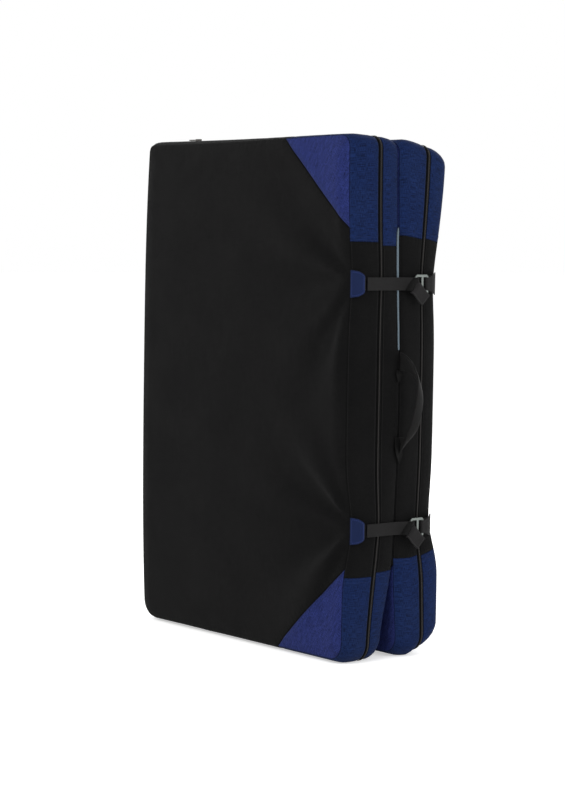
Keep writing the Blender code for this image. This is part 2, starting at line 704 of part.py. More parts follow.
def make_hinge_fabric(looks):
    """The strip that joins the two halves: it lies over both hinge walls and bends at the fold."""
    bm = bmesh.new()
    low = HINGE_FABRIC_END
    high = PAD_HEIGHT - HINGE_FABRIC_END
    rows = []
    for across_share in HINGE_SHARES:
        y = across_share * HINGE_FABRIC_WIDTH / 2
        row = []
        for step in range(HINGE_STEPS + 1):
            z = low + (high - low) * step / HINGE_STEPS
            side = FRONT if y < 0 else BACK
            wall = half_form(-PAD_WIDTH / 2, z, abs(y), side).x
            crest = min(wall, half_form(-PAD_WIDTH / 2, z, HINGE_FABRIC_WIDTH / 2, side).x)
            row.append(bm.verts.new((crest - HINGE_FABRIC_GAP, y, z)))
        rows.append(row)
    for before, after in zip(rows, rows[1:]):
        for step in range(HINGE_STEPS):
            bm.faces.new((before[step], before[step + 1], after[step + 1], after[step]))
    bm.normal_update()
    if sum(face.normal.x for face in bm.faces) < 0:
        bmesh.ops.reverse_faces(bm, faces=bm.faces)
    bm.normal_update()
    bmesh.ops.solidify(bm, geom=list(bm.faces), thickness=SKIN)
    make_object("hinge_fabric", bm, looks["black"])


def make_slider(side, looks):
    """Zip slider with its pull, parked on the top wall near the hinge end."""
    x = -PAD_WIDTH / 2 + ZIP_STOP_FROM_HINGE + SLIDER_LENGTH * 2
    depth = zip_centre(side)
    seat = half_form(x, PAD_HEIGHT, depth, side)
    around = [depth - ZIP_COIL_WIDTH / 2, depth, depth + ZIP_COIL_WIDTH / 2]
    seat.z = max(half_form(x, PAD_HEIGHT, place, side).z for place in around)
    lift = ZIP_COIL_RISE + SLIDER_CLEARANCE
    bm = bmesh.new()
    bmesh.ops.create_cube(bm, size=1.0)
    bmesh.ops.scale(bm, verts=bm.verts, vec=Vector((SLIDER_LENGTH, SLIDER_WIDTH, SLIDER_HEIGHT)))
    nose = [vert for vert in bm.verts if vert.co.x > 0]
    bmesh.ops.scale(bm, verts=nose, vec=Vector((1.0, SLIDER_NOSE_SHARE, 1.0)))
    tail_face = min(bm.faces, key=lambda face: face.calc_center_median().x)
    bmesh.ops.inset_individual(bm, faces=[tail_face], thickness=(SLIDER_HEIGHT - PULL_THICKNESS) / 2)
    pulled = bmesh.ops.extrude_face_region(bm, geom=[tail_face])
    moved = [item for item in pulled["geom"] if isinstance(item, bmesh.types.BMVert)]
    bmesh.ops.delete(bm, geom=[tail_face], context="FACES_ONLY")
    bmesh.ops.translate(bm, verts=moved, vec=Vector((-PULL_LENGTH, 0.0, 0.0)))
    bmesh.ops.bevel(bm, geom=list(bm.edges), offset=SLIDER_EDGE, segments=1, affect="EDGES",
                    profile=0.5, material=-1, offset_type="OFFSET")
    bmesh.ops.translate(bm, verts=bm.verts, vec=seat + Vector((0.0, 0.0, lift + SLIDER_HEIGHT / 2)))
    make_object(f"{half_name(side)}_zip_slider", bm, looks["metal"], smooth=False)


# Harness on the back face

def outermost_y(x, z, half_x, half_z):
    """How far out the back face stands anywhere under a small patch."""
    places = [(x + half_x * i, z + half_z * j) for i in (-1, 0, 1) for j in (-1, 0, 1)]
    return max(face_y(px, pz, BACK) for px, pz in places)


def make_shoulder_strap(name, x, looks):
    """Padded strap that lies on the back face: broad at the shoulder, narrow at the adjuster."""
    sections = []
    for share in SHOULDER_SHARES:
        z = SHOULDER_TOP_Z - SHOULDER_PAD_LENGTH * share
        end = ease(min(share, 1.0 - share) / SHOULDER_END_SHARE)
        half_width = (SHOULDER_END_WIDTH + (SHOULDER_PAD_WIDTH - SHOULDER_END_WIDTH) * end) / 2
        thickness = SHOULDER_PAD_THICKNESS * (SHOULDER_THIN_SHARE + (1.0 - SHOULDER_THIN_SHARE) * end)
        y = outermost_y(x, z, half_width * TOUCH_SHARE, SHOULDER_PAD_WIDTH / 2 * TOUCH_SHARE)
        y += HARNESS_STANDOFF + thickness / 2
        sections.append(((x, y, z), (half_width, 0.0, 0.0), (0.0, thickness / 2, 0.0)))
    loft(name, sections, looks["padding"])


def make_yoke(looks):
    """Anchor strip above the shoulder straps, sewn flat to the back face."""
    z = SHOULDER_TOP_Z + YOKE_HEIGHT / 2 + SEWN_GAP
    half = Vector((0.0, 0.0, YOKE_HEIGHT / 2))
    stations = []
    for share in YOKE_SHARES:
        x = share * YOKE_WIDTH / 2
        y = outermost_y(x, z, YOKE_WIDTH * REST_SHARE, YOKE_HEIGHT / 2)
        y += HARNESS_STANDOFF + YOKE_THICKNESS / 2
        stations.append(((x, y, z), half))
    band("harness_yoke", stations, YOKE_THICKNESS, looks["webbing"])


def adjuster_z():
    return SHOULDER_FOOT_Z - SEWN_GAP - ADJUSTER_LENGTH / 2


def make_adjuster(name, x, looks):
    """Ladder-lock: a plate with two slots that the lower webbing is threaded through."""
    z = adjuster_z()
    y = outermost_y(x, z, ADJUSTER_WIDTH / 2, ADJUSTER_LENGTH / 2)
    y += HARNESS_STANDOFF * 2 + WEBBING_THICKNESS + BAND_GAP + ADJUSTER_THICKNESS / 2
    outline = bpy.data.curves.new(name, "CURVE")
    outline.dimensions = "2D"
    outline.fill_mode = "BOTH"
    outline.extrude = ADJUSTER_THICKNESS / 2
    half_w = ADJUSTER_WIDTH / 2
    half_l = ADJUSTER_LENGTH / 2
    corner = ADJUSTER_CORNER
    plate = [(-half_w, -half_l), (half_w, -half_l), (half_w, half_l - corner), (half_w - corner, half_l),
             (-half_w + corner, half_l), (-half_w, half_l - corner)]
    slot_half = WEBBING / 2 + HOOK_SLOT_EASE
    loops = [plate]
    for middle in (-ADJUSTER_SLOT_SPACING / 2, ADJUSTER_SLOT_SPACING / 2):
        low = middle - ADJUSTER_SLOT / 2
        high = middle + ADJUSTER_SLOT / 2
        loops.append([(-slot_half, low), (-slot_half, high), (slot_half, high), (slot_half, low)])
    for points in loops:
        spline = outline.splines.new("POLY")
        spline.points.add(len(points) - 1)
        spline.use_cyclic_u = True
        for point, (across, upright) in zip(spline.points, points):
            point.co = (across, upright, 0.0, 1.0)
    flat = bpy.data.objects.new(name, outline)
    outline.materials.append(looks["plastic"])
    flat.location = (x, y, z)
    flat.rotation_euler = (math.radians(90.0), 0.0, 0.0)
    parts.objects.link(flat)


def make_lower_webbing(name, x, looks):
    """Webbing from the adjuster down to its anchor near the foot of the back face."""
    half = Vector((WEBBING / 2, 0.0, 0.0))
    high = adjuster_z() + ADJUSTER_LENGTH / 2
    stations = []
    for share in LOWER_WEB_SHARES:
        z = LOWER_ANCHOR_Z + (high - LOWER_ANCHOR_Z) * share
        y = outermost_y(x, z, WEBBING / 2, WEBBING) + HARNESS_STANDOFF + WEBBING_THICKNESS / 2
        stations.append(((x, y, z), half))
    band(name, stations, WEBBING_THICKNESS, looks["webbing"])


def belt_root_x():
    return BUCKLE_LENGTH + BELT_GAP + BELT_WING_LENGTH


def belt_rest_y(x):
    """Where the inner face of a belt wing lies on the back face."""
    face = outermost_y(x, BELT_Z, BELT_WING_LENGTH * REST_SHARE, BELT_HEIGHT / 2 * TOUCH_SHARE)
    return face + HARNESS_STANDOFF


def make_belt_wing(name, direction, looks):
    """Hip-belt wing: a tapered pad that reaches from its sewn root to its buckle half."""
    sections = []
    root = belt_root_x()
    for share in BELT_SHARES:
        x = direction * (root - BELT_WING_LENGTH * share)
        taper = ease(share)
        half_height = (BELT_HEIGHT + (BELT_END_HEIGHT - BELT_HEIGHT) * taper) / 2
        rounded = ease((share + BELT_END_SHARE) / (BELT_END_SHARE * 2))
        filled = BELT_ROOT_SHARE + (1.0 - BELT_ROOT_SHARE) * ease(share / BELT_END_SHARE)
        thickness = BELT_THICKNESS * (1.0 - taper * BELT_THIN_SHARE) * filled
        y = belt_rest_y(x) + thickness / 2
        sections.append(((x, y, BELT_Z), (0.0, 0.0, half_height * rounded), (0.0, thickness / 2, 0.0)))
    loft(name, sections, looks["padding"])


def make_buckle(name, direction, looks):
    """One half of the side-release buckle at a wing's tip."""
    start = BAND_GAP / 2
    sections = []
    y = outermost_y(0.0, BELT_Z, BUCKLE_LENGTH, BUCKLE_HEIGHT / 2)
    y += HARNESS_STANDOFF + BUCKLE_THICKNESS / 2
    for share, width_share, thick_share in BUCKLE_SHARES:
        x = direction * (start + (BUCKLE_LENGTH + BELT_GAP - BAND_GAP * 2) * share)
        sections.append(((x, y, BELT_Z), (0.0, 0.0, BUCKLE_HEIGHT / 2 * width_share),
                         (0.0, BUCKLE_THICKNESS / 2 * thick_share, 0.0)))
    loft(name, sections, looks["plastic"])


# Assembly

def make_looks():
    return {
        "black": finish("black_shell_fabric", 0.012, 0.012, 0.013, 0.8),
        "landing": finish("landing_fabric", 0.02, 0.02, 0.022, 0.85),
        "wall": finish("blue_wall_fabric", 0.012, 0.026, 0.108, 0.75),
        "patch": finish("blue_patch_fabric", 0.022, 0.027, 0.155, 0.75),
        "zip": finish("zip_tape", 0.015, 0.014, 0.013, 0.6),
        "webbing": finish("webbing", 0.013, 0.013, 0.014, 0.7),
        "trim": finish("edge_trim", 0.11, 0.14, 0.19, 0.7),
        "padding": finish("strap_padding", 0.014, 0.014, 0.015, 0.85),
        "metal": finish("hook_aluminium", 0.3, 0.32, 0.31, 0.4, 1.0),
        "plastic": finish("buckle_plastic", 0.02, 0.02, 0.02, 0.45),
        "foam_firm": finish("closed_cell_foam", 0.25, 0.26, 0.28, 0.9),
        "foam_soft": finish("open_cell_foam", 0.75, 0.72, 0.6, 0.95),
    }


def joint_axes():
    """Names of the moving pieces on each joint axis, and a point on that axis."""
    hinge_x = -PAD_WIDTH / 2 - WALL_CROWN - HINGE_CLEARANCE
    swung = ("back_", "upper_loop_tab", "lower_loop_tab", "harness_", "shoulder_", "adjuster_",
             "lower_webbing_", "belt_", "buckle_")
    axes = {"main_fold_axis": ((hinge_x, 0.0, 0.0), swung)}
    for label, z in (("upper", UPPER_STRAP_Z), ("lower", LOWER_STRAP_Z)):
        seam_y = half_form(PAD_WIDTH / 2, z, HALF_THICKNESS, FRONT).y
        y = seam_y + TAB_THICKNESS + WEB_UNDER_TAB
        point = (taut_x(z, STRAP_STANDOFF), y, z)
        axes[f"{label}_strap_axis"] = (point, (f"{label}_strap", f"{label}_hook"))
    axes["handle_axis"] = ((handle_seat_x(HANDLE_MIDDLE_Z), 0.0, HANDLE_MIDDLE_Z), ("carry_handle",))
    for label, direction in (("left", -1), ("right", 1)):
        root = direction * belt_root_x()
        point = (root, belt_rest_y(root), BELT_Z)
        axes[f"belt_{label}_axis"] = (point, (f"belt_wing_{label}", f"buckle_{label}"))
    return axes


def set_on_axes():
    """Hangs every piece on an empty at its joint axis and stands the whole pad centred on the origin."""
    bpy.context.view_layer.update()
    graph = bpy.context.evaluated_depsgraph_get()
    corners = []
    for item in parts.objects:
        shape = item.evaluated_get(graph)
        corners += [item.matrix_world @ vert.co for vert in shape.to_mesh().vertices]
        shape.to_mesh_clear()
    middle = Vector(((min(c.x for c in corners) + max(c.x for c in corners)) / 2,
                     (min(c.y for c in corners) + max(c.y for c in corners)) / 2, 0.0))
    pieces = list(parts.objects)
    root = bpy.data.objects.new("crash_pad_root", None)
    parts.objects.link(root)
    empties = {}
    for name, (point, prefixes) in joint_axes().items():
        empty = bpy.data.objects.new(name, None)
        parts.objects.link(empty)
        empty.location = point
        empty.parent = root
        empties[empty] = prefixes
    for piece in pieces:
        carrier = root
        for empty, prefixes in empties.items():
            if piece.name.startswith(prefixes) and not piece.name.endswith("strap_tab"):
                carrier = empty
        piece.parent = carrier
        piece.location = Vector(piece.location) - Vector(carrier.location)
    root.location = -middle


def build():
    clear_scene()
    looks = make_looks()
    for side in (FRONT, BACK):
        make_half(side, looks)
        make_slider(side, looks)
    make_trim(looks)
    make_hinge_fabric(looks)
    for label, z in (("upper", UPPER_STRAP_Z), ("lower", LOWER_STRAP_Z)):
        make_closure(label, z, looks)
        make_loop_tab(f"{label}_loop_tab", z, looks)
    make_handle(looks)
    make_yoke(looks)
    for label, direction in (("left", -1.0), ("right", 1.0)):
        x = direction * SHOULDER_SPACING / 2
        make_shoulder_strap(f"shoulder_strap_{label}", x, looks)
        make_adjuster(f"adjuster_{label}", x, looks)
        make_lower_webbing(f"lower_webbing_{label}", x, looks)
        make_belt_wing(f"belt_wing_{label}", direction, looks)
        make_buckle(f"buckle_{label}", direction, looks)
    set_on_axes()


build()
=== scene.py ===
import bpy
import bmesh
import math
from mathutils import Matrix, Vector, noise
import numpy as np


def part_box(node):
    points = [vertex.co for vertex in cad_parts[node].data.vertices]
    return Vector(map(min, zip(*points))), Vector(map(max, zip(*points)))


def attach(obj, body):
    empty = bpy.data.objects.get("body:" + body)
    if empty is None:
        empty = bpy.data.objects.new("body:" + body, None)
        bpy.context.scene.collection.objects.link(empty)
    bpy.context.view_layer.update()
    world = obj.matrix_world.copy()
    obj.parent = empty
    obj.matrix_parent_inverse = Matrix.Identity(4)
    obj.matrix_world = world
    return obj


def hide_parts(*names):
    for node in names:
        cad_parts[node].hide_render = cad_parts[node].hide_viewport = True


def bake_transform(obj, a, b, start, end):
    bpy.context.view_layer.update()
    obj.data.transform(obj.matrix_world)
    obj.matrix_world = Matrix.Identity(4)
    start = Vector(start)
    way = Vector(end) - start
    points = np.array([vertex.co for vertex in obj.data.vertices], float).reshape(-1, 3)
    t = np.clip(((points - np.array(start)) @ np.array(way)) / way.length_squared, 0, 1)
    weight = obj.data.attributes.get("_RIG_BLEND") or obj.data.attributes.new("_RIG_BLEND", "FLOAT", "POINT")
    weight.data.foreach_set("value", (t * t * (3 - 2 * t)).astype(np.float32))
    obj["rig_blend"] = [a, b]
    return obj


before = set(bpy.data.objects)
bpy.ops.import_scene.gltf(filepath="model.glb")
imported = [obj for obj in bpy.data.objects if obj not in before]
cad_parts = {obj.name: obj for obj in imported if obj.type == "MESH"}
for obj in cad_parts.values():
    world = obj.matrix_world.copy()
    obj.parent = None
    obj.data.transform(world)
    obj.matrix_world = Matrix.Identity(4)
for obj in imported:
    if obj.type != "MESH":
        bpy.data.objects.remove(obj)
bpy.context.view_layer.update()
print("stage: frame loaded")
scene = bpy.context.scene

front = -1
back = 1
sideNames = {front: "front", back: "back"}

# the pad's own sizes in metres, as the frame has them, and the powers of its curves
pad = {
    "width": 0.65,
    "height": 1.0,
    "thickness": 0.125,
    "corners": {(-1, 1): 0.013, (1, 1): 0.022, (-1, -1): 0.034, (1, -1): 0.034},
    "crown": 0.009,
    "crownPower": 3.0,
    "hingeBulge": 0.01,
    "foldGap": 0.0003,
    "floorLift": 0.0085,
    "topDropStart": 0.12,
    "footDropStart": 0.38,
    "endDrop": 0.025,
    "middleBulge": 0.015,
    "lowDrawIn": 0.013,
    "lowOpening": 0.014,
    "lowHeight": 0.2,
    "straps": (0.735, 0.26),
    "pullReachZ": 0.075,
    "pullReachX": 0.16,
    "pulls": {front: (0.009, 0.019, 0.003), back: (0.026, 0.026, 0.02)},
    "zipFromFold": {front: 0.052, back: 0.072},
    "topRise": 0.01,
    "topRisePower": 3,
    "endPower": 4,
    "zipWidth": 0.011,
    "wrapTop": {front: {"outer_wall": 0.195, "inner_wall": 0.2015}, back: {"outer_wall": 0.178, "inner_wall": 0.181}},
    "wrapBottom": {front: {"outer_wall": 0.162, "inner_wall": 0.169}, back: {"outer_wall": 0.187, "inner_wall": 0.191}},
    "patchRunX": 0.195,
    "patchRunZ": {True: 0.17, False: 0.179},
}
padHalf, padHigh, padThick = pad["width"] / 2, pad["height"], pad["thickness"]
panelLow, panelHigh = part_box("front_outer_panel")
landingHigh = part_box("front_landing_panel")[1]
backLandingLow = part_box("back_landing_panel")[0]
padMiddle = Vector(((panelLow[0] + panelHigh[0]) / 2, (landingHigh[1] + backLandingLow[1]) / 2, 0.0))


def ease(value):
    value = min(max(value, 0.0), 1.0)
    return value * value * (3.0 - 2.0 * value)


def hill(distance, reach):
    return math.exp(-(distance / reach) ** 2)


def roundCorner(x, z):
    fromMiddle = z - padHigh / 2
    corner = pad["corners"][1 if x > 0 else -1, 1 if fromMiddle > 0 else -1]
    middleX = padHalf - corner
    middleZ = padHigh / 2 - corner
    overX = abs(x) - middleX
    overZ = abs(fromMiddle) - middleZ
    if overX <= 0 or overZ <= 0:
        return x, z
    scale = max(overX, overZ) / math.hypot(overX, overZ)
    newZ = padHigh / 2 + math.copysign(middleZ + overZ * scale, fromMiddle)
    return math.copysign(middleX + overX * scale, x), newZ


def strapPull(x, z, side):
    # how far the straps draw the outer face in
    highStrap, lowStrap = pad["straps"]
    high, low, between = pad["pulls"][side]
    along = hill(padHalf - x, pad["pullReachX"])
    share = ease((z - lowStrap / 2) / (lowStrap / 2)) * ease((padHigh - z) / (padHigh - highStrap))
    local = (high - between) * hill(z - highStrap, pad["pullReachZ"])
    local += (low - between) * hill(z - lowStrap, pad["pullReachZ"])
    return (between * share + local) * along


def halfForm(x, z, depth, side):
    # flat place in a half to its place on the padded form
    share = depth / padThick
    x, z = roundCorner(x, z)
    crown = pad["crown"] * (1.0 - abs(2.0 * share - 1.0) ** pad["crownPower"])
    towardStraps = ease((x + padHalf) / pad["width"])
    newX = x * (1.0 + crown / padHalf)
    fromEnd = abs(2.0 * z / padHigh - 1.0)
    tall = 1.0 + crown / (padHigh / 2) * fromEnd ** pad["endPower"]
    if side == back:
        dropStart = pad["topDropStart"] if z > padHigh / 2 else pad["footDropStart"]
        drop = max(share - dropStart, 0.0) / (1.0 - dropStart)
        tall -= pad["endDrop"] * drop / (padHigh / 2)
    newZ = padHigh / 2 + (z - padHigh / 2) * tall
    if side == front and z > padHigh / 2:
        newZ += pad["topRise"] * towardStraps ** 2 * share ** pad["topRisePower"] * fromEnd ** pad["endPower"]
    nearFold = (1.0 - share) ** 2
    low = ease(1.0 - z / pad["lowHeight"])
    arch = math.sin(math.pi * z / padHigh)
    fullArch = 1.0 - abs(2.0 * z / padHigh - 1.0) ** pad["crownPower"]
    drawIn = pad["lowDrawIn"] if side == front else 0.0
    newX += (pad["middleBulge"] * arch ** 2 - drawIn * low) * nearFold * towardStraps
    newDepth = depth - strapPull(x, z, side) * share
    newDepth += pad["lowOpening"] * low * (1.0 - share) * towardStraps
    newDepth += pad["hingeBulge"] * fullArch * share * (1.0 - towardStraps)
    newZ = max(newZ, -pad["floorLift"]) + pad["floorLift"]
    return padMiddle + Vector((newX, side * (pad["foldGap"] + newDepth), newZ))


cover = {
    "step": 0.009,
    "rim": 0.003,
    "seamDip": 0.0019,
    "seamReach": 0.0034,
    "thickness": 0.0009,
    "cutMerge": 1e-6,
    "slantMerge": 1e-5,
    "onEdge": 1e-5,
}


def isFace(normal):
    # on a large face of the flat half rather than on its walls
    return abs(normal.y) > 0.5


def zipEdges(side):
    # where the zip's tape starts and ends, as depths from the fold
    low = pad["zipFromFold"][side] - pad["zipWidth"] / 2
    return low, low + pad["zipWidth"]


def seamLines(side):
    # places of the seams along x, along z and in depth
    across = [padHalf - pad["patchRunX"]]
    tops = [padHigh - down for down in pad["wrapTop"][side].values()]
    return across, [*pad["wrapBottom"][side].values(), *tops], zipEdges(side)


def cutRows(bm, axis, lines, low, high, step):
    # cuts the block at the seams and beside them, then evenly between
    rim = cover["rim"]
    places = {low + rim, high - rim}
    for line in lines:
        places |= {line - rim, line, line + rim}
    places = sorted(place for place in places if low < place < high)
    normal = Vector([float(axis == index) for index in range(3)])
    for place in places:
        geometry = bm.verts[:] + bm.edges[:] + bm.faces[:]
        bmesh.ops.bisect_plane(bm, geom=geometry, plane_co=normal * place, plane_no=normal, dist=cover["cutMerge"])
    places = [low] + places + [high]
    for start, end in zip(places, places[1:]):
        cuts = round((end - start) / step) - 1
        if cuts < 1:
            continue
        middle = (start + end) / 2
        spans = []
        for edge in bm.edges:
            ends = sorted(vert.co[axis] for vert in edge.verts)
            if ends[0] < middle < ends[1]:
                spans.append(edge)
        bmesh.ops.subdivide_edges(bm, edges=spans, cuts=cuts, use_grid_fill=True)


def cutPatchSeam(bm, top):
    # slanted seams of the two corner patches, on both faces of the half
    upward = 1.0 if top else -1.0
    normal = Vector((pad["patchRunZ"][top], 0.0, upward * pad["patchRunX"])).normalized()
    start = Vector((padHalf - pad["patchRunX"], 0.0, padHigh if top else 0.0))
    for shift in (-cover["rim"], 0.0, cover["rim"]):
        faces = [face for face in bm.faces if isFace(face.normal)]
        edges = {edge for face in faces for edge in face.edges}
        verts = {vert for face in faces for vert in face.verts}
        geometry = list(verts) + list(edges) + faces
        bmesh.ops.bisect_plane(bm, geom=geometry, plane_co=start + normal * shift, plane_no=normal,
                               dist=cover["slantMerge"])


def patchDistance(x, z, top):
    # distance to the slanted seam, positive on the patch
    upward = 1.0 if top else -1.0
    runZ = pad["patchRunZ"][top]
    run = math.hypot(pad["patchRunX"], runZ)
    fromEnd = z - (padHigh if top else 0.0)
    return ((x - padHalf + pad["patchRunX"]) * runZ + fromEnd * upward * pad["patchRunX"]) / run


def regionOf(spot, normal, side):
    # which piece of fabric a place belongs to
    x, depth, z = spot
    if isFace(normal):
        face = "outer" if depth > padThick / 2 else "landing"
        for top in (True, False):
            if patchDistance(x, z, top) > 0:
                return face + "_patch_" + ("top" if top else "bottom")
        return face + "_panel"
    zipLow, zipHigh = zipEdges(side)
    if depth < zipLow:
        strip = "inner_wall"
    elif depth < zipHigh:
        return "zip"
    else:
        strip = "outer_wall"
    onEnd = abs(normal.z) > 0.5
    if onEnd and x < padHalf - pad["patchRunX"] or normal.x < -0.5:
        return strip + "_hinge_run"
    if z > padHigh - pad["wrapTop"][side][strip]:
        return strip + "_wrap_top"
    if z < pad["wrapBottom"][side][strip]:
        return strip + "_wrap_bottom"
    return strip + "_middle"


def addObject(name, data):
    item = bpy.data.objects.new(name, data)
    scene.collection.objects.link(item)
    return item


# fitted to the photo: angles in degrees, distance in metres, the rest in pixels
view = {"focal": 2267.7, "turn": 50.83, "lift": 4.06, "roll": 0.897, "distance": 4.656, "right": 6.06, "up": 10.46,
        "imageHeight": 800, "sensor": 36.0, "clip": 60.0}


def makeCamera():
    turn, lift, roll = (math.radians(view[name]) for name in ("turn", "lift", "roll"))
    away = Vector((math.sin(turn) * math.cos(lift), -math.cos(turn) * math.cos(lift), math.sin(lift)))
    level = Vector((math.cos(turn), math.sin(turn), 0.0))
    upright = away.cross(level)
    right = level * math.cos(roll) + upright * math.sin(roll)
    up = upright * math.cos(roll) - level * math.sin(roll)
    data = bpy.data.cameras.new("camera")
    data.sensor_width = view["sensor"]
    data.lens = view["focal"] * view["sensor"] / view["imageHeight"]
    data.shift_x = -view["right"] / view["imageHeight"]
    data.shift_y = -view["up"] / view["imageHeight"]
    data.clip_end = view["clip"]
    target = padMiddle + Vector((0.0, 0.0, padHigh / 2 + pad["floorLift"]))
    place = Matrix((right, up, away)).transposed().to_4x4()
    place.translation = target + away * view["distance"]
    camera = addObject("camera", data)
    camera.matrix_world = place
    scene.camera = camera


def seenDirectly(tree):
    # 1 for rays from the camera, in mirrors and through glass
    rays = addNode(tree, "LightPath").outputs
    direct = calc(tree, "MAXIMUM", rays["Is Camera Ray"], rays["Is Glossy Ray"])
    return calc(tree, "MAXIMUM", direct, rays["Is Transmission Ray"])


studio = {"floorSize": 30.0, "paper": (0.92, 0.92, 0.92, 1.0), "rough": 0.9, "glow": 0.5, "sky": 0.55,
          "white": (1.0, 1.0, 1.0, 1.0)}


def makeStage():
    bm = bmesh.new()
    bmesh.ops.create_grid(bm, x_segments=1, y_segments=1, size=studio["floorSize"])
    mesh = bpy.data.meshes.new("floor")
    bm.to_mesh(mesh)
    bm.free()
    floor = addObject("floor", mesh)
    material = bpy.data.materials.new("floorPaper")
    material.use_nodes = True
    tree = material.node_tree
    shader = tree.nodes["Principled BSDF"]
    shader.inputs["Base Color"].default_value = studio["paper"]
    shader.inputs["Roughness"].default_value = studio["rough"]
    # the eye and mirrors see white paper, and the shadow stays on it
    glow = addNode(tree, "Emission", {"Strength": calc(tree, "MULTIPLY", seenDirectly(tree), studio["glow"])})
    both = addNode(tree, "AddShader", {0: shader.outputs["BSDF"], 1: glow.outputs["Emission"]})
    tree.links.new(both.outputs["Shader"], tree.nodes["Material Output"].inputs["Surface"])
    mesh.materials.append(material)
    world = bpy.data.worlds.new("studio")
    scene.world = world
    world.use_nodes = True
    tree = world.node_tree
    ground = tree.nodes["Background"]
    ground.inputs["Color"].default_value = studio["white"]
    ground.inputs["Strength"].default_value = studio["sky"]
    seen = addNode(tree, "Background", {"Color": studio["white"], "Strength": 1.0})
    pick = addNode(tree, "MixShader", {
        "Fac": seenDirectly(tree), 1: ground.outputs["Background"], 2: seen.outputs["Background"]})
    tree.links.new(pick.outputs["Shader"], tree.nodes["World Output"].inputs["Surface"])
    scene.view_settings.view_transform = "Standard"


# place, aim, size and power
lamps = {
    "keyLight": ((1.2, -3.2, 2.6), (0.0, 0.0, 0.5), (1.6, 1.6), 60.0),
    "sideLight": ((3.4, 0.6, 1.6), (0.2, 0.0, 0.5), (1.4, 2.0), 40.0),
    "backLight": ((-1.6, 3.4, 2.4), (0.0, 0.0, 0.5), (1.8, 1.8), 70.0),
    "hingeLight": ((-3.4, -1.0, 2.0), (0.0, 0.0, 0.5), (1.4, 1.8), 30.0),
}


def makeLamps():
    for name, (place, aim, size, power) in lamps.items():
        data = bpy.data.lights.new(name, "AREA")
        data.shape = "RECTANGLE"
        data.size, data.size_y = size
        data.energy = power
        lamp = addObject(name, data)
        lamp.location = place
        lamp.rotation_euler = (Vector(aim) - Vector(place)).to_track_quat("-Z", "Y").to_euler()


def addNode(tree, kind, inputs=None, **settings):
    # one node with its settings and its inputs, each a value or a socket
    node = tree.nodes.new("ShaderNode" + kind)
    for name, value in settings.items():
        setattr(node, name, value)
    for name, value in (inputs or {}).items():
        if isinstance(value, bpy.types.NodeSocket):
            tree.links.new(value, node.inputs[name])
        else:
            node.inputs[name].default_value = value
    return node


def calc(tree, operation, *values):
    return addNode(tree, "Math", dict(enumerate(values)), operation=operation).outputs["Value"]


def axesOf(tree, vector):
    return addNode(tree, "SeparateXYZ", {"Vector": vector}).outputs


def threads(tree, count):
    # a rounded ridge between each two whole numbers
    return calc(tree, "ABSOLUTE", calc(tree, "SINE", calc(tree, "MULTIPLY", count, math.pi)))


def newGroup(name, inputs, outputs):
    tree = bpy.data.node_groups.new(name, "ShaderNodeTree")
    for way, sockets in (("INPUT", inputs), ("OUTPUT", outputs)):
        for socketName, kind in sockets.items():
            tree.interface.new_socket(socketName, in_out=way, socket_type="NodeSocket" + kind)
    return tree, tree.nodes.new("NodeGroupInput").outputs, tree.nodes.new("NodeGroupOutput").inputs


def useGroup(tree, name, **inputs):
    return addNode(tree, "Group", inputs, node_tree=bpy.data.node_groups[name]).outputs


weaveLook = {"gridEvery": 11.0, "gridWidth": 1.4}


def makeWeaveGroup():
    # plain weave: threads over and under by turns, with a thicker grid every few threads
    inputs = {"Place": "Vector", "Pitch": "Float", "Grid": "Float"}
    tree, given, end = newGroup("fabricWeave", inputs, {"Height": "Float"})
    axes = axesOf(tree, given["Place"])
    across, along = (calc(tree, "DIVIDE", axes[axis], given["Pitch"]) for axis in "XY")
    warp, weft = threads(tree, across), threads(tree, along)
    both = calc(tree, "ADD", calc(tree, "FLOOR", across), calc(tree, "FLOOR", along))
    turn = calc(tree, "FLOORED_MODULO", both, 2.0)
    over = addNode(tree, "Mix", {0: turn, 2: warp, 3: weft}, data_type="FLOAT").outputs[0]
    ribs = []
    for line in (across, along):
        part = calc(tree, "FLOORED_MODULO", line, weaveLook["gridEvery"])
        ribs.append(calc(tree, "LESS_THAN", part, weaveLook["gridWidth"]))
    rib = calc(tree, "MULTIPLY", calc(tree, "MAXIMUM", *ribs), given["Grid"])
    tree.links.new(calc(tree, "ADD", over, rib), end["Height"])


yarnLook = {"stretches": ((1100.0, 45.0, 1.0), (120.0, 1100.0, 1.0)), "detail": 2.0, "rough": 0.6}


def makeMelangeGroup():
    # short lighter and darker yarn lengths both ways
    tree, given, end = newGroup("yarnMix", {"Place": "Vector", "Amount": "Float", "Turn": "Vector"}, {"Tone": "Float"})
    tones = []
    turned = addNode(tree, "Mapping", {"Vector": given["Place"], "Rotation": given["Turn"]}).outputs["Vector"]
    for stretch in yarnLook["stretches"]:
        moved = addNode(tree, "Mapping", {"Vector": turned, "Scale": stretch}).outputs["Vector"]
        yarn = addNode(tree, "TexNoise", {"Vector": moved, "Scale": 1.0, "Detail": yarnLook["detail"],
                                          "Roughness": yarnLook["rough"]})
        tones.append(calc(tree, "SUBTRACT", yarn.outputs["Fac"], 0.5))
    both = calc(tree, "ADD", *tones)
    tree.links.new(calc(tree, "MULTIPLY_ADD", both, given["Amount"], 1.0), end["Tone"])


stitchLook = {"halfLength": 0.42, "sharpness": 8.0}


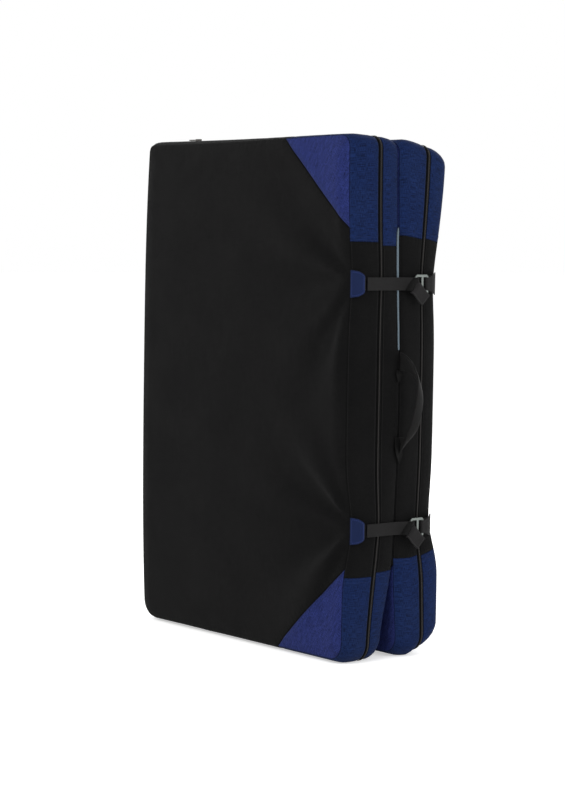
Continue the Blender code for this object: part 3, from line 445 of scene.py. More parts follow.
def makeStitchGroup():
    # a row of stitches at one distance from a seam
    inputs = {"Seam": "Vector", "Distance": "Float", "Length": "Float", "Width": "Float"}
    tree, given, end = newGroup("stitchRow", inputs, {"Mask": "Float"})
    axes = axesOf(tree, given["Seam"])
    off = calc(tree, "ABSOLUTE", calc(tree, "SUBTRACT", axes["Y"], given["Distance"]))
    across = calc(tree, "SUBTRACT", 1.0, calc(tree, "DIVIDE", off, given["Width"]))
    part = calc(tree, "FRACT", calc(tree, "DIVIDE", axes["X"], given["Length"]))
    fromMiddle = calc(tree, "ABSOLUTE", calc(tree, "SUBTRACT", part, 0.5))
    along = calc(tree, "SUBTRACT", stitchLook["halfLength"], fromMiddle)
    along = calc(tree, "MULTIPLY", along, stitchLook["sharpness"])
    mask = addNode(tree, "Clamp", {"Value": calc(tree, "MINIMUM", across, along)}).outputs["Result"]
    tree.links.new(mask, end["Mask"])


gatherScale = (150.0, 30.0, 1.0)


def makePuckerGroup():
    # small gathers in the cloth that fade out from a seam
    tree, given, end = newGroup("seamPucker", {"Seam": "Vector", "Reach": "Float"}, {"Height": "Float"})
    moved = addNode(tree, "Mapping", {"Vector": given["Seam"], "Scale": gatherScale}).outputs["Vector"]
    fold = addNode(tree, "TexNoise", {"Vector": moved, "Scale": 1.0, "Detail": 1.0}).outputs["Fac"]
    share = calc(tree, "DIVIDE", axesOf(tree, given["Seam"])["Y"], given["Reach"])
    near = addNode(tree, "Clamp", {"Value": calc(tree, "SUBTRACT", 1.0, share)}).outputs["Result"]
    tree.links.new(calc(tree, "MULTIPLY", fold, calc(tree, "MULTIPLY", near, near)), end["Height"])


darkestPaintedShade = 0.3


def makeShadeGroup():
    # fabric turns down into the seam, and painted shade darkens its colour there
    tree, given, end = newGroup("seamShade", {"Seam": "Vector", "Reach": "Float"}, {"Shade": "Float"})
    near = calc(tree, "DIVIDE", axesOf(tree, given["Seam"])["Y"], given["Reach"])
    shade = addNode(tree, "MapRange", {"Value": near, "To Min": darkestPaintedShade}, interpolation_type="SMOOTHSTEP")
    tree.links.new(shade.outputs["Result"], end["Shade"])


wearLook = {
    "cloud": {"Scale": 9.0, "Detail": 6.0, "Roughness": 0.65},
    "patch": {"From Min": 0.42, "From Max": 0.72},
    "low": {"From Min": 0.22, "From Max": 0.0},
    "lowShare": 0.5,
    "crumple": {"Scale": 26.0, "Detail": 3.0, "Roughness": 0.45, "Distortion": 0.6},
}


def makeWearGroup():
    # soft scuffs and dust that gather low down and in patches
    inputs = {"Place": "Vector", "Amount": "Float"}
    tree, given, end = newGroup("wearAndDust", inputs, {"Scuff": "Float", "Crumple": "Float"})
    cloud = addNode(tree, "TexNoise", {"Vector": given["Place"], **wearLook["cloud"]}).outputs["Fac"]
    patch = addNode(tree, "MapRange", {"Value": cloud, **wearLook["patch"]}).outputs["Result"]
    height = axesOf(tree, given["Place"])["Z"]
    low = addNode(tree, "MapRange", {"Value": height, **wearLook["low"]}).outputs["Result"]
    dust = calc(tree, "MULTIPLY_ADD", low, wearLook["lowShare"], patch)
    tree.links.new(calc(tree, "MULTIPLY", dust, given["Amount"]), end["Scuff"])
    crumple = addNode(tree, "TexNoise", {"Vector": given["Place"], **wearLook["crumple"]}).outputs["Fac"]
    tree.links.new(crumple, end["Crumple"])


def makeRibGroup():
    # webbing: ribs across the band, each column half a rib on from the last
    tree, given, end = newGroup("webbingRibs", {"Place": "Vector", "Pitch": "Float"}, {"Height": "Float"})
    axes = axesOf(tree, given["Place"])
    along, across = (calc(tree, "DIVIDE", axes[axis], given["Pitch"]) for axis in "XY")
    shifted = calc(tree, "MULTIPLY_ADD", calc(tree, "FLOOR", across), 0.5, along)
    tree.links.new(calc(tree, "MULTIPLY", threads(tree, shifted), threads(tree, across)), end["Height"])


def makeSpeckGroup():
    # fine grain of metal, moulded plastic and foam cells, which can be drawn out along an axis
    inputs = {"Place": "Vector", "Size": "Float", "Stretch": "Vector"}
    tree, given, end = newGroup("surfaceGrain", inputs, {"Grain": "Float", "Cells": "Float"})
    moved = tint(tree, given["Place"], given["Stretch"])
    scale = calc(tree, "DIVIDE", 1.0, given["Size"])
    grain = addNode(tree, "TexNoise", {"Vector": moved, "Scale": scale, "Detail": 5.0, "Roughness": 0.7}).outputs["Fac"]
    cells = addNode(tree, "TexVoronoi", {"Vector": moved, "Scale": scale}).outputs["Distance"]
    tree.links.new(grain, end["Grain"])
    tree.links.new(cells, end["Cells"])


def tint(tree, colour, tone):
    return addNode(tree, "VectorMath", {0: colour, 1: tone}, operation="MULTIPLY").outputs["Vector"]


def mixColour(tree, share, first, second):
    return addNode(tree, "Mix", {0: share, 6: first, 7: second}, data_type="RGBA").outputs[2]


def newMaterial(name, look):
    # a material with its object place, its wear, and its colour where it is worn
    material = bpy.data.materials.new(name)
    material.use_nodes = True
    tree = material.node_tree
    place = addNode(tree, "TexCoord").outputs["Object"]
    wear = useGroup(tree, "wearAndDust", Place=place, Amount=look["wear"])
    base = mixColour(tree, wear["Scuff"], (*look["colour"], 1.0), (*look["worn"], 1.0))
    return material, tree, place, wear, base


def uvPlace(tree, name):
    return addNode(tree, "UVMap", uv_map=name).outputs["UV"]


def addStitches(tree, seamName, distances, size, look, colour, height):
    # rows of stitches over a colour and a height
    for distance in distances:
        mask = useGroup(tree, "stitchRow", Seam=uvPlace(tree, seamName), Distance=distance, Length=size["length"],
                        Width=size["width"])["Mask"]
        colour = mixColour(tree, mask, colour, (*look["thread"], 1.0))
        height = calc(tree, "MULTIPLY_ADD", mask, size["rise"], height)
    return colour, height


def fillShader(tree, colour, height, rough, values):
    shader = tree.nodes["Principled BSDF"]
    relief = addNode(tree, "Bump", {"Height": height, "Distance": 1.0, "Strength": 1.0}).outputs["Normal"]
    for name, socket in (("Base Color", colour), ("Roughness", rough), ("Normal", relief)):
        tree.links.new(socket, shader.inputs[name])
    for name, value in values.items():
        shader.inputs[name].default_value = value


clothSeam = {"length": 0.0034, "width": 0.0009, "rise": 0.0003, "shadeReach": 0.0016}
clothRise = 0.00012
clothRough = 0.08


def fabricMaterial(name, look):
    # one woven fabric: weave, yarn tones, painted shade and stitches beside its seams, puckers, scuffs
    material, tree, place, wear, base = newMaterial(name, look)
    if look.get("unwrapped", True):
        flat = uvPlace(tree, "flat")
    else:
        axes = axesOf(tree, place)
        flat = addNode(tree, "CombineXYZ", {"X": axes["X"], "Y": axes["Z"]}).outputs["Vector"]
    weave = useGroup(tree, "fabricWeave", Place=flat, Pitch=look["pitch"], Grid=look["grid"])["Height"]
    tone = useGroup(tree, "yarnMix", Place=flat, Amount=look["melange"], Turn=(0.0, 0.0, look["turn"]))["Tone"]
    colour = tint(tree, base, tone)
    height = calc(tree, "MULTIPLY", weave, clothRise)
    height = calc(tree, "MULTIPLY_ADD", wear["Crumple"], look["crumple"], height)
    for seamName, distances in look["stitches"].items():
        seam = uvPlace(tree, seamName)
        # painted shade: the colour darkens towards each listed seam
        colour = tint(tree, colour, useGroup(tree, "seamShade", Seam=seam, Reach=clothSeam["shadeReach"])["Shade"])
        pucker = useGroup(tree, "seamPucker", Seam=seam, Reach=look["puckerReach"])["Height"]
        height = calc(tree, "MULTIPLY_ADD", pucker, look["pucker"], height)
        colour, height = addStitches(tree, seamName, distances, clothSeam, look, colour, height)
    rough = calc(tree, "MULTIPLY_ADD", weave, clothRough, look["roughness"])
    fillShader(tree, colour, height, rough, {
        "Sheen Weight": look["sheen"], "Sheen Roughness": 0.5, "Specular IOR Level": 0.06})
    return material


bandSeam = {"length": 0.0036, "width": 0.001, "rise": 0.0004}
bandTone = {"ribs": 0.5, "floor": 0.6, "rough": 0.1}


def webbingMaterial(name, look):
    material, tree, _, wear, base = newMaterial(name, look)
    ribs = useGroup(tree, "webbingRibs", Place=uvPlace(tree, "flat"), Pitch=look["pitch"])["Height"]
    colour = tint(tree, base, calc(tree, "MULTIPLY_ADD", ribs, bandTone["ribs"], bandTone["floor"]))
    height = calc(tree, "MULTIPLY", ribs, look["depth"])
    rows = look.get("stitches", ())
    colour, height = addStitches(tree, "seamA", rows, bandSeam, look, colour, height)
    rough = calc(tree, "MULTIPLY_ADD", wear["Crumple"], bandTone["rough"], look["roughness"])
    fillShader(tree, colour, height, rough, {"Sheen Weight": look["sheen"], "Specular IOR Level": 0.12})
    return material


hardRough = 0.15


def hardMaterial(name, look):
    # metal, plastic and foam on the object's own coordinates
    material, tree, place, _, base = newMaterial(name, look)
    fine = useGroup(tree, "surfaceGrain", Place=place, Size=look["size"], Stretch=look["stretch"])
    colour = tint(tree, base, calc(tree, "MULTIPLY_ADD", fine["Grain"], look["grain"], 1.0 - look["grain"] / 2))
    mixed = addNode(tree, "Mix", {0: look["cells"], 2: fine["Grain"], 3: fine["Cells"]}, data_type="FLOAT").outputs[0]
    height = calc(tree, "MULTIPLY", mixed, look["depth"])
    rough = calc(tree, "MULTIPLY_ADD", fine["Grain"], hardRough, look["roughness"])
    fillShader(tree, colour, height, rough, {"Metallic": look["metal"], "Specular IOR Level": look["shine"]})
    return material


# woven fabrics; stitches are distances in metres from each seam
cloth = {"pitch": 0.0011, "grid": 0.0, "melange": 0.5, "turn": 0.0, "wear": 0.5, "crumple": 0.0012,
         "puckerReach": 0.035, "pucker": 0.002, "roughness": 0.8, "sheen": 0.02,
         "stitches": {"seamA": (), "seamB": ()}}
black = {**cloth, "colour": (0.0032, 0.0032, 0.0033), "worn": (0.0062, 0.0061, 0.006),
         "thread": (0.014, 0.014, 0.014), "melange": 0.9}
wallBlue = {**cloth, "colour": (0.0053, 0.0142, 0.06), "worn": (0.0085, 0.019, 0.066), "melange": 2.9,
            "thread": (0.012, 0.022, 0.075), "stitches": {"seamA": (0.003,), "seamB": (0.0035, 0.0095)}}
fabrics = {
    "blackShell": black,
    "blackWall": {**black, "stitches": {"seamA": (0.003,), "seamB": ()}},
    "landingFabric": {**black, "colour": (0.012, 0.012, 0.0125), "grid": 0.8},
    "blueWall": wallBlue,
    "bluePatch": {**wallBlue, "colour": (0.016, 0.0245, 0.115), "worn": (0.021, 0.03, 0.125), "melange": 2.5,
                  "stitches": {"seamA": (0.0035, 0.0095), "seamB": ()}, "turn": 0.5, "crumple": 0.0004},
    # the tape lies inside its own seams, so the painted seam shade darkens all of it: painted shade of the gap between
    # the fabric edges
    "zipTape": {**black, "colour": (0.004, 0.004, 0.0042), "pitch": 0.0009, "crumple": 0.0004, "pucker": 0.0},
    "harnessMesh": {**black, "colour": (0.009, 0.009, 0.0095), "pitch": 0.0026, "stitches": {}, "unwrapped": False},
    "sewnPatch": {**black, "colour": (0.008, 0.008, 0.0082), "stitches": {"seamA": (0.003, 0.0065)}},
}
band = {"pitch": 0.0016, "wear": 0.4, "colour": (0.0122, 0.0114, 0.012), "worn": (0.0175, 0.0166, 0.0172),
        "depth": 0.00035, "roughness": 0.62, "sheen": 0.03}
webbings = {
    "webbing": {**band, "colour": (0.0096, 0.0092, 0.0094), "worn": (0.0135, 0.013, 0.0133)},
    "handleWeb": {**band, "colour": (0.0052, 0.005, 0.005), "worn": (0.009, 0.0087, 0.0087)},
    # near-black webbing without sheen, laid where folds and gathers are: painted shade
    "paintedShadeWeb": {**band, "colour": (0.0016, 0.0016, 0.0016), "worn": (0.003, 0.0029, 0.0029), "sheen": 0.0},
    "stitchedWeb": {**band, "stitches": (0.0022,), "thread": (0.03, 0.03, 0.03)},
    "blueTab": {**band, "pitch": 0.0011, "colour": (0.0058, 0.0152, 0.066), "worn": (0.01, 0.021, 0.076),
                "stitches": (0.003,), "thread": (0.02, 0.035, 0.14)},
    "edgeTrim": {**band, "pitch": 0.002, "colour": (0.15, 0.2, 0.24), "worn": (0.12, 0.15, 0.17)},
}
hard = {"size": 0.0012, "stretch": (1.0, 1.0, 1.0), "wear": 0.4, "grain": 0.3, "cells": 0.0, "depth": 0.00005,
        "roughness": 0.4, "metal": 0.0, "shine": 0.35, "colour": (0.012, 0.012, 0.012), "worn": (0.03, 0.03, 0.03)}
hards = {
    "hookMetal": {**hard, "metal": 1.0, "colour": (0.17, 0.19, 0.18), "roughness": 0.42,
                  "worn": (0.25, 0.265, 0.25), "stretch": (1.0, 0.08, 1.0)},
    "zipMetal": {**hard, "metal": 1.0, "colour": (0.09, 0.085, 0.08), "roughness": 0.35, "worn": (0.2, 0.19, 0.17)},
    "zipCoil": {**hard, "colour": (0.0105, 0.0094, 0.0088), "worn": (0.02, 0.0175, 0.0155), "size": 0.0006,
                "roughness": 0.45, "shine": 0.2},
    "bucklePlastic": {**hard, "size": 0.0009, "roughness": 0.5},
    "firmFoam": {**hard, "colour": (0.16, 0.16, 0.165), "worn": (0.2, 0.2, 0.2), "size": 0.0018, "cells": 1.0,
                 "depth": 0.0006, "roughness": 0.85},
    "softFoam": {**hard, "colour": (0.62, 0.55, 0.38), "worn": (0.55, 0.46, 0.3), "size": 0.0024, "cells": 1.0,
                 "depth": 0.001, "roughness": 0.9},
}


def makeLooks():
    for makeGroup in (makeWeaveGroup, makeMelangeGroup, makeStitchGroup, makePuckerGroup, makeShadeGroup,
                      makeWearGroup, makeRibGroup, makeSpeckGroup):
        makeGroup()
    kinds = ((fabricMaterial, fabrics), (webbingMaterial, webbings), (hardMaterial, hards))
    return {name: make(name, look) for make, table in kinds for name, look in table.items()}


def fromBorder(depth, z, side):
    # distance to where the blue corner wraps end on the strap wall
    strip = "inner_wall" if depth < pad["zipFromFold"][side] else "outer_wall"
    return min(abs(z - pad["wrapBottom"][side][strip]), abs(padHigh - pad["wrapTop"][side][strip] - z))


def seamDistance(spot, side, onFace):
    # distance along the fabric to the nearest seam
    x, depth, z = spot
    if onFace:
        slanted = min(abs(patchDistance(x, z, top)) for top in (True, False))
        return min(padHalf - abs(x), z, padHigh - z, slanted)
    edges = [depth, padThick - depth, *(abs(depth - line) for line in zipEdges(side))]
    if x > padHalf - cover["onEdge"]:
        edges.append(fromBorder(depth, z, side))
    elif z < cover["onEdge"] or z > padHigh - cover["onEdge"]:
        edges.append(abs(x - padHalf + pad["patchRunX"]))
    return min(edges)


def seamPlaces(spot, kind, side):
    # for the stitches: place along and distance to the sewn edge of a piece, then to its blue or black border
    x, depth, z = spot
    if kind == "face":
        top = z > padHigh / 2
        slanted = patchDistance(x, z, top)
        runZ = pad["patchRunZ"][top]
        along = (x * pad["patchRunX"] + z * (-1.0 if top else 1.0) * runZ) / math.hypot(pad["patchRunX"], runZ)
        edges = {padHalf - abs(x): z, z: x, padHigh - z: x}
        edge = min(edges)
        return (along, abs(slanted)), (edges[edge], edge)
    along = z if kind == "side" else x
    zipLow, zipHigh = zipEdges(side)
    fromZip = min(max(zipLow - depth, depth - zipHigh), depth, padThick - depth)
    if kind == "end":
        border = abs(x - padHalf + pad["patchRunX"])
    elif x > 0:
        border = fromBorder(depth, z, side)
    else:
        border = 1.0
    return (along, fromZip), (depth, border)


# folds that fan out from each strap: how many, how strong, and how far the next strap's fan is turned
crease = {
    "fans": ((7.0, 1.0, 2.1, 1.0), (11.0, 0.6, 0.7, 2.0)),
    "start": 0.01,
    "peak": 0.07,
    "fadeIn": 0.06,
    "reach": 0.17,
    "height": 0.0042,
    "keep": 0.8,
    "waveHeight": 0.0021,
    "waveSize": 0.11,
    "waveStretch": (0.8, 3.0, 1.4),
    "edge": 0.03,
}


def creases(x, z, side):
    # soft folds in the outer face that run out from the straps, and broad waves; a height to add
    lift = 0.0
    for index, strapZ in enumerate(pad["straps"]):
        dx, dz = padHalf + crease["start"] - x, z - strapZ
        reach = math.hypot(dx, dz)
        turn = math.atan2(dz, dx)
        fan = sum(strength * math.sin(turn * count + index * nextTurn + side * sideTurn)
                  for count, strength, nextTurn, sideTurn in crease["fans"])
        near = hill(reach - crease["peak"], crease["reach"])
        lift += crease["height"] * fan * near * ease(reach / crease["fadeIn"])
    stretchX, stretchY, stretchZ = crease["waveStretch"]
    spot = Vector((x * stretchX, side * stretchY, z * stretchZ)) / crease["waveSize"]
    lift += crease["waveHeight"] * noise.noise(spot)
    edge = min(padHalf - abs(x), z, padHigh - z)
    lift = max(lift + crease["height"] * crease["keep"], 0.0)
    return lift * ease(edge / crease["edge"]) * freeShare(x, z, side)


clothLook = {
    "frames": 20,
    "hold": 0.35,
    "sink": 0.002,
    "evenings": 5,
    "evenShare": 0.6,
    "faceRoom": 0.005,
    "wallRoom": 0.0012,
    "settings": {
        "vertex_group_mass": "sewn", "quality": 6, "mass": 0.25, "tension_stiffness": 20.0,
        "compression_stiffness": 20.0, "bending_stiffness": 0.4, "use_pressure": True,
        "uniform_pressure_force": 1.0, "shrink_min": -0.014},
}
# what lies on the back face, as low and high places there (x from the middle, z): the fabric stays flat under it
harnessAreas = (((-0.16, 0.17), (-0.04, 0.85)), ((0.04, 0.17), (0.16, 0.85)), ((-0.17, 0.76), (0.16, 0.85)),
                ((-0.26, 0.08), (0.26, 0.2)))
harnessEdge = 0.03
strapAreas = ((0.705, 0.765), (0.23, 0.29))


def freeShare(x, z, side):
    # 1 where nothing lies on the outer face, 0 under the harness
    if side == front:
        return 1.0
    nearest = 1.0
    for (lowX, lowZ), (highX, highZ) in harnessAreas:
        away = max(lowX - x, x - highX, lowZ - z, z - highZ)
        nearest = min(nearest, ease(away / harnessEdge))
    return nearest


def roomFor(spot, faces, side):
    # how far the fabric may move out: not where halves meet or where a strap lies
    x, depth, z = spot
    if depth < cover["onEdge"]:
        return 0.0
    if any(isFace(face.normal) for face in faces):
        return clothLook["faceRoom"] * freeShare(x, z, side)
    if x > 0 and any(low < z < high for low, high in strapAreas):
        return 0.0
    return clothLook["wallRoom"]


def runCloth(holder, frames, settings):
    # places of an object's vertices after some frames as cloth without gravity
    cloth = holder.modifiers.new("cloth", "CLOTH")
    for name, value in settings.items():
        setattr(cloth.settings, name, value)
    cloth.settings.effector_weights.gravity = 0.0
    cloth.point_cache.frame_start = 1
    cloth.point_cache.frame_end = frames
    for step in range(1, frames + 1):
        scene.frame_set(step)
    settled = holder.evaluated_get(bpy.context.evaluated_depsgraph_get()).to_mesh()
    places = [vert.co.copy() for vert in settled.vertices]
    scene.frame_set(1)
    return places


def settleCloth(bm):
    # lets the fabric swell and buckle between its seams, which stay where they are sewn
    mesh = bpy.data.meshes.new("settling")
    bm.to_mesh(mesh)
    holder = addObject("settling", mesh)
    group = holder.vertex_groups.new(name="sewn")
    pin = bm.verts.layers.float["pin"]
    room = bm.verts.layers.float["room"]
    for index, vert in enumerate(bm.verts):
        weight = 1.0 if vert[pin] > 0.5 else clothLook["hold"] + (1.0 - clothLook["hold"]) * vert[pin]
        group.add([index], weight, "REPLACE")
    places = runCloth(holder, clothLook["frames"], clothLook["settings"])
    bpy.data.objects.remove(holder)
    changes = {vert: place - vert.co for vert, place in zip(bm.verts, places)}
    for turn in range(clothLook["evenings"]):
        evened = {}
        for vert, change in changes.items():
            near = [changes[edge.other_vert(vert)] for edge in vert.link_edges]
            share = clothLook["evenShare"] * (1.0 - vert[pin])
            evened[vert] = change.lerp(sum(near, Vector()) / len(near), share)
        changes = evened
    for vert, change in changes.items():
        outward = change.dot(vert.normal)
        held = min(max(outward, -clothLook["sink"]), vert[room])
        aside = change - vert.normal * outward
        if aside.length > clothLook["sink"]:
            aside *= clothLook["sink"] / aside.length
        vert.co += vert.normal * held + aside
    bm.normal_update()


def makeBlock(size, middle):
    bm = bmesh.new()
    bmesh.ops.create_cube(bm, size=1.0)
    bmesh.ops.scale(bm, verts=bm.verts, vec=size)
    bmesh.ops.translate(bm, verts=bm.verts, vec=middle)
    return bm


def turnFaces(bm, side):
    # the front half is a mirror image of its flat form, so its faces are turned outward again
    if side == front:
        bmesh.ops.reverse_faces(bm, faces=bm.faces)
    bm.normal_update()


def makeHalfForm(side):
    # a whole half: cut flat at its seams, marked with its regions, formed, settled, and drawn in at the seams
    size = Vector((pad["width"], padThick, padHigh))
    bm = makeBlock(size, (0.0, size.y / 2, size.z / 2))
    across, upright, deep = seamLines(side)
    cutRows(bm, 0, across, -size.x / 2, size.x / 2, cover["step"])
    cutRows(bm, 2, upright, 0.0, size.z, cover["step"])
    cutRows(bm, 1, deep, 0.0, size.y, cover["step"])
    for top in (True, False):
        cutPatchSeam(bm, top)
    bm.normal_update()
    names = []
    region = bm.faces.layers.int.new("region")
    flat, seamA, seamB = (bm.loops.layers.uv.new(name) for name in ("flat", "seamA", "seamB"))
    pin, dip, room = (bm.verts.layers.float.new(name) for name in ("pin", "dip", "room"))
    for face in bm.faces:
        name = regionOf(face.calc_center_median(), face.normal, side)
        if name not in names:
            names.append(name)
        face[region] = names.index(name)
        onFace = isFace(face.normal)
        kind = "face" if onFace else "side" if abs(face.normal.x) > 0.5 else "end"
        for loop in face.loops:
            x, depth, z = loop.vert.co
            loop[flat].uv = {"face": (x, z), "side": (z, depth), "end": (x, depth)}[kind]
            loop[seamA].uv, loop[seamB].uv = seamPlaces(loop.vert.co, kind, side)
    places = {}
    for vert in bm.verts:
        onFaces = {isFace(face.normal) for face in vert.link_faces}
        distance = min(seamDistance(vert.co, side, onFace) for onFace in onFaces)
        vert[dip] = hill(distance, cover["seamReach"])
        vert[pin] = hill(distance, cover["rim"] * 2)
        vert[room] = roomFor(vert.co, vert.link_faces, side)
        x, depth, z = vert.co
        place = halfForm(x, z, depth, side)
        place.y += side * creases(x, z, side) * ease(depth / padThick * 2.0 - 1.0)
        places[vert] = place
    for vert, place in places.items():
        vert.co = place
    turnFaces(bm, side)
    settleCloth(bm)
    for vert in bm.verts:
        vert.co -= vert.normal * cover["seamDip"] * vert[dip]
    return bm, names


def finishPiece(name, bm, body, material, nodes):
    # mesh object at the origin that rides on a body and stands for CAD nodes
    mesh = bpy.data.meshes.new(name)
    bm.to_mesh(mesh)
    bm.free()
    for polygon in mesh.polygons:
        polygon.use_smooth = True
    mesh.materials.append(looks[material])
    piece = addObject(name, mesh)
    if body:
        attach(piece, body)
    if nodes:
        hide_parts(*nodes)
    return piece


def addShell(piece, thickness, offset):
    shell = piece.modifiers.new("shell", "SOLIDIFY")
    shell.thickness = thickness
    shell.offset = offset


def coverMaterial(region):
    for part, material in (("zip", "zipTape"), ("_patch_", "bluePatch"), ("_wrap_", "blueWall"),
                           ("_wall_", "blackWall"), ("landing_panel", "landingFabric")):
        if part in region:
            return material
    return "blackShell"


def makeCovers(side):
    whole, names = makeHalfForm(side)
    sideName = sideNames[side]
    for index, name in enumerate(names):
        part = whole.copy()
        layer = part.faces.layers.int["region"]
        others = [face for face in part.faces if face[layer] != index]
        bmesh.ops.delete(part, geom=others, context="FACES")
        node = sideName + "_" + name
        piece = finishPiece("cover_" + node, part, sideName + "_half", coverMaterial(name), [node])
        addShell(piece, cover["thickness"], -1.0)
    whole.free()


def catmull(a, b, c, d, share):
    # held back where the spans differ much, so that short folds stay tight
    first, second, third = b - a, c - b, d - c
    reach = second.length or 1.0
    inward = (first.normalized() + second.normalized()) * reach * 0.5 if first.length else second
    outward = (second.normalized() + third.normalized()) * reach * 0.5 if third.length else second
    square, cube = share ** 2, share ** 3
    start = b * (2.0 * cube - 3.0 * square + 1.0) + inward * (cube - 2.0 * square + share)
    return start + c * (3.0 * square - 2.0 * cube) + outward * (cube - square)


def placesAlong(rows, step):
    # smooth line through rows of middles and half widths, at even steps of the middle
    lengths = [0.0]
    for before, after in zip(rows, rows[1:]):
        lengths.append(lengths[-1] + (after[0] - before[0]).length)
    count = max(round(lengths[-1] / step), 2)
    found = []
    for index in range(count + 1):
        reach = lengths[-1] * index / count
        part = max(row for row in range(len(rows) - 1) if lengths[row] <= reach + 1e-9)
        share = (reach - lengths[part]) / (lengths[part + 1] - lengths[part])
        near = [rows[max(part - 1, 0)], rows[part], rows[part + 1], rows[min(part + 2, len(rows) - 1)]]
        middle = catmull(*(row[0] for row in near), share)
        found.append((reach, middle, near[1][1].lerp(near[2][1], share)))
    return found


# what a strip is like unless its own table says otherwise
stripLook = {"across": 6, "turn": 1.0, "ripple": 0.0003, "cup": 0.0, "thickness": 0.0015, "nodes": (),
             "rippleSize": 40.0, "rippleAcross": 20.0, "edge": 0.3}


def makeStrip(name, rows, special):
    # a sheet of webbing or cloth along a line of middles and half widths, with its own weave map
    look = {**stripLook, **special}
    line = placesAlong([tuple(Vector(value) for value in row) for row in rows], look["step"])
    last = len(line) - 1
    length = line[last][0]
    bm = bmesh.new()
    flat = bm.loops.layers.uv.new("flat")
    seam = bm.loops.layers.uv.new("seamA")
    bmesh.ops.create_grid(bm, x_segments=last, y_segments=look["across"], size=0.5)
    moved = {}
    for vert in bm.verts:
        index = round((vert.co.x + 0.5) * last)
        share = vert.co.y * 2.0
        reach, middle, half = line[index]
        ahead = line[min(index + 1, last)][1] - line[max(index - 1, 0)][1]
        outward = half.cross(ahead).normalized() * look["turn"]
        spot = middle * look["rippleSize"] + half * share * look["rippleAcross"]
        lift = noise.noise(spot) * look["ripple"] + (1.0 - share ** 2) * look["cup"]
        moved[vert] = (middle + half * share + outward * lift, reach, half.length * share, half.length)
    for face in bm.faces:
        for loop in face.loops:
            place, reach, side, half = moved[loop.vert]
            loop[flat].uv = (reach, side)
            loop[seam].uv = (reach, min(half - abs(side), reach, length - reach))
    for vert, (place, *_) in moved.items():
        vert.co = place
    bm.normal_update()
    piece = finishPiece(name, bm, look["body"], look["material"], look["nodes"])
    addShell(piece, look["thickness"], 0.0)
    edge = piece.modifiers.new("edge", "BEVEL")
    edge.width = look["thickness"] * look["edge"]
    edge.segments = 2
    edge.limit_method = "ANGLE"
    return piece


# the strips of a closure, each with its rows: middle (x, y), half width in z and, where it isn't zero,
# the rise over the strap's own height and the half width in y
closure = {
    "tabOf_": {
        "rows": ((0.2905, -0.1232, 0.0262), (0.2958, -0.1198, 0.0258), (0.3034, -0.1131, 0.024),
                 (0.3075, -0.1085, 0.0208), (0.3085, -0.1045, 0.0178), (0.3085, -0.1022, 0.0148)),
        "step": 0.0025, "body": "front_half", "material": "blueTab", "node": "_strap_tab", "thickness": 0.0022,
        "across": 10, "cup": 0.0004},
    "strapRootOf_": {
        "rows": ((0.304, -0.1085, 0.0123), (0.3038, -0.102, 0.0123), (0.3038, -0.0962, 0.0123)),
        "step": 0.002, "body": "front_half", "material": "webbing"},
    "strapOf_": {
        "rows": ((0.306, -0.0938, 0.0125), (0.306, -0.08, 0.0125), (0.306, -0.0059, 0.0125),
                 (0.3137, 0.0221, 0.0125), (0.3137, 0.0296, 0.0125), (0.306, 0.0396, 0.0125),
                 (0.306, 0.048, 0.0125)),
        "step": 0.002, "body": "_closure", "material": "webbing", "node": "_strap"},
    # a dark strip at the fold round the hook's bar: painted shade of the fold
    "foldShadeOf_": {
        "rows": ((0.3105, 0.0085, 0.0122, -0.0005, 0.0075), (0.3155, 0.0118, 0.0122, -0.0005, 0.0078),
                 (0.3182, 0.0165, 0.0122, -0.001, 0.008), (0.3165, 0.0212, 0.0122, -0.001, 0.008),
                 (0.3142, 0.0235, 0.0122, -0.001, 0.008)),
        "step": 0.0015, "body": "_closure", "material": "paintedShadeWeb"},
    "tailOf_": {
        "rows": ((0.3145, 0.0178, 0.0108, -0.006, 0.009), (0.3198, 0.0208, 0.0104, -0.0085, 0.0096),
                 (0.3208, 0.0268, 0.0102, -0.0155, 0.0098), (0.3214, 0.0342, 0.0101, -0.0235, 0.0099),
                 (0.3232, 0.0425, 0.0101, -0.032, 0.0099)),
        "step": 0.002, "body": "_closure", "material": "stitchedWeb", "thickness": 0.0026},
    "loopOf_": {
        "rows": ((0.2925, 0.093, 0.0222), (0.3003, 0.084, 0.0205), (0.3081, 0.0741, 0.0178),
                 (0.3081, 0.0508, 0.0125), (0.3137, 0.0508, 0.0125), (0.3137, 0.0581, 0.0125),
                 (0.3102, 0.0741, 0.0178), (0.3026, 0.0838, 0.0205), (0.295, 0.0912, 0.0222)),
        "step": 0.0015, "body": "back_half", "material": "webbing", "node": "_loop_tab", "across": 8},
}
lowerTab = {"shift": 0.01, "upTo": -0.05}  # the lower strap is sewn on nearer to the fold


def closureRows(rows, strapZ):
    found = []
    for x, y, halfZ, *leaning in rows:
        rise, halfY = leaning or (0.0, 0.0)
        if strapZ < padHigh / 2 and y < lowerTab["upTo"]:
            y += lowerTab["shift"]
        found.append(((x, y, strapZ + rise), (0.0, halfY, halfZ)))
    return found


def makeClosures():
    for level, strapZ in zip(("upper", "lower"), pad["straps"]):
        for name, look in closure.items():
            body = level + "_closure" if look["body"] == "_closure" else look["body"]
            nodes = [level + look["node"]] if "node" in look else []
            makeStrip(name + level, closureRows(look["rows"], strapZ), {**look, "body": body, "nodes": nodes})


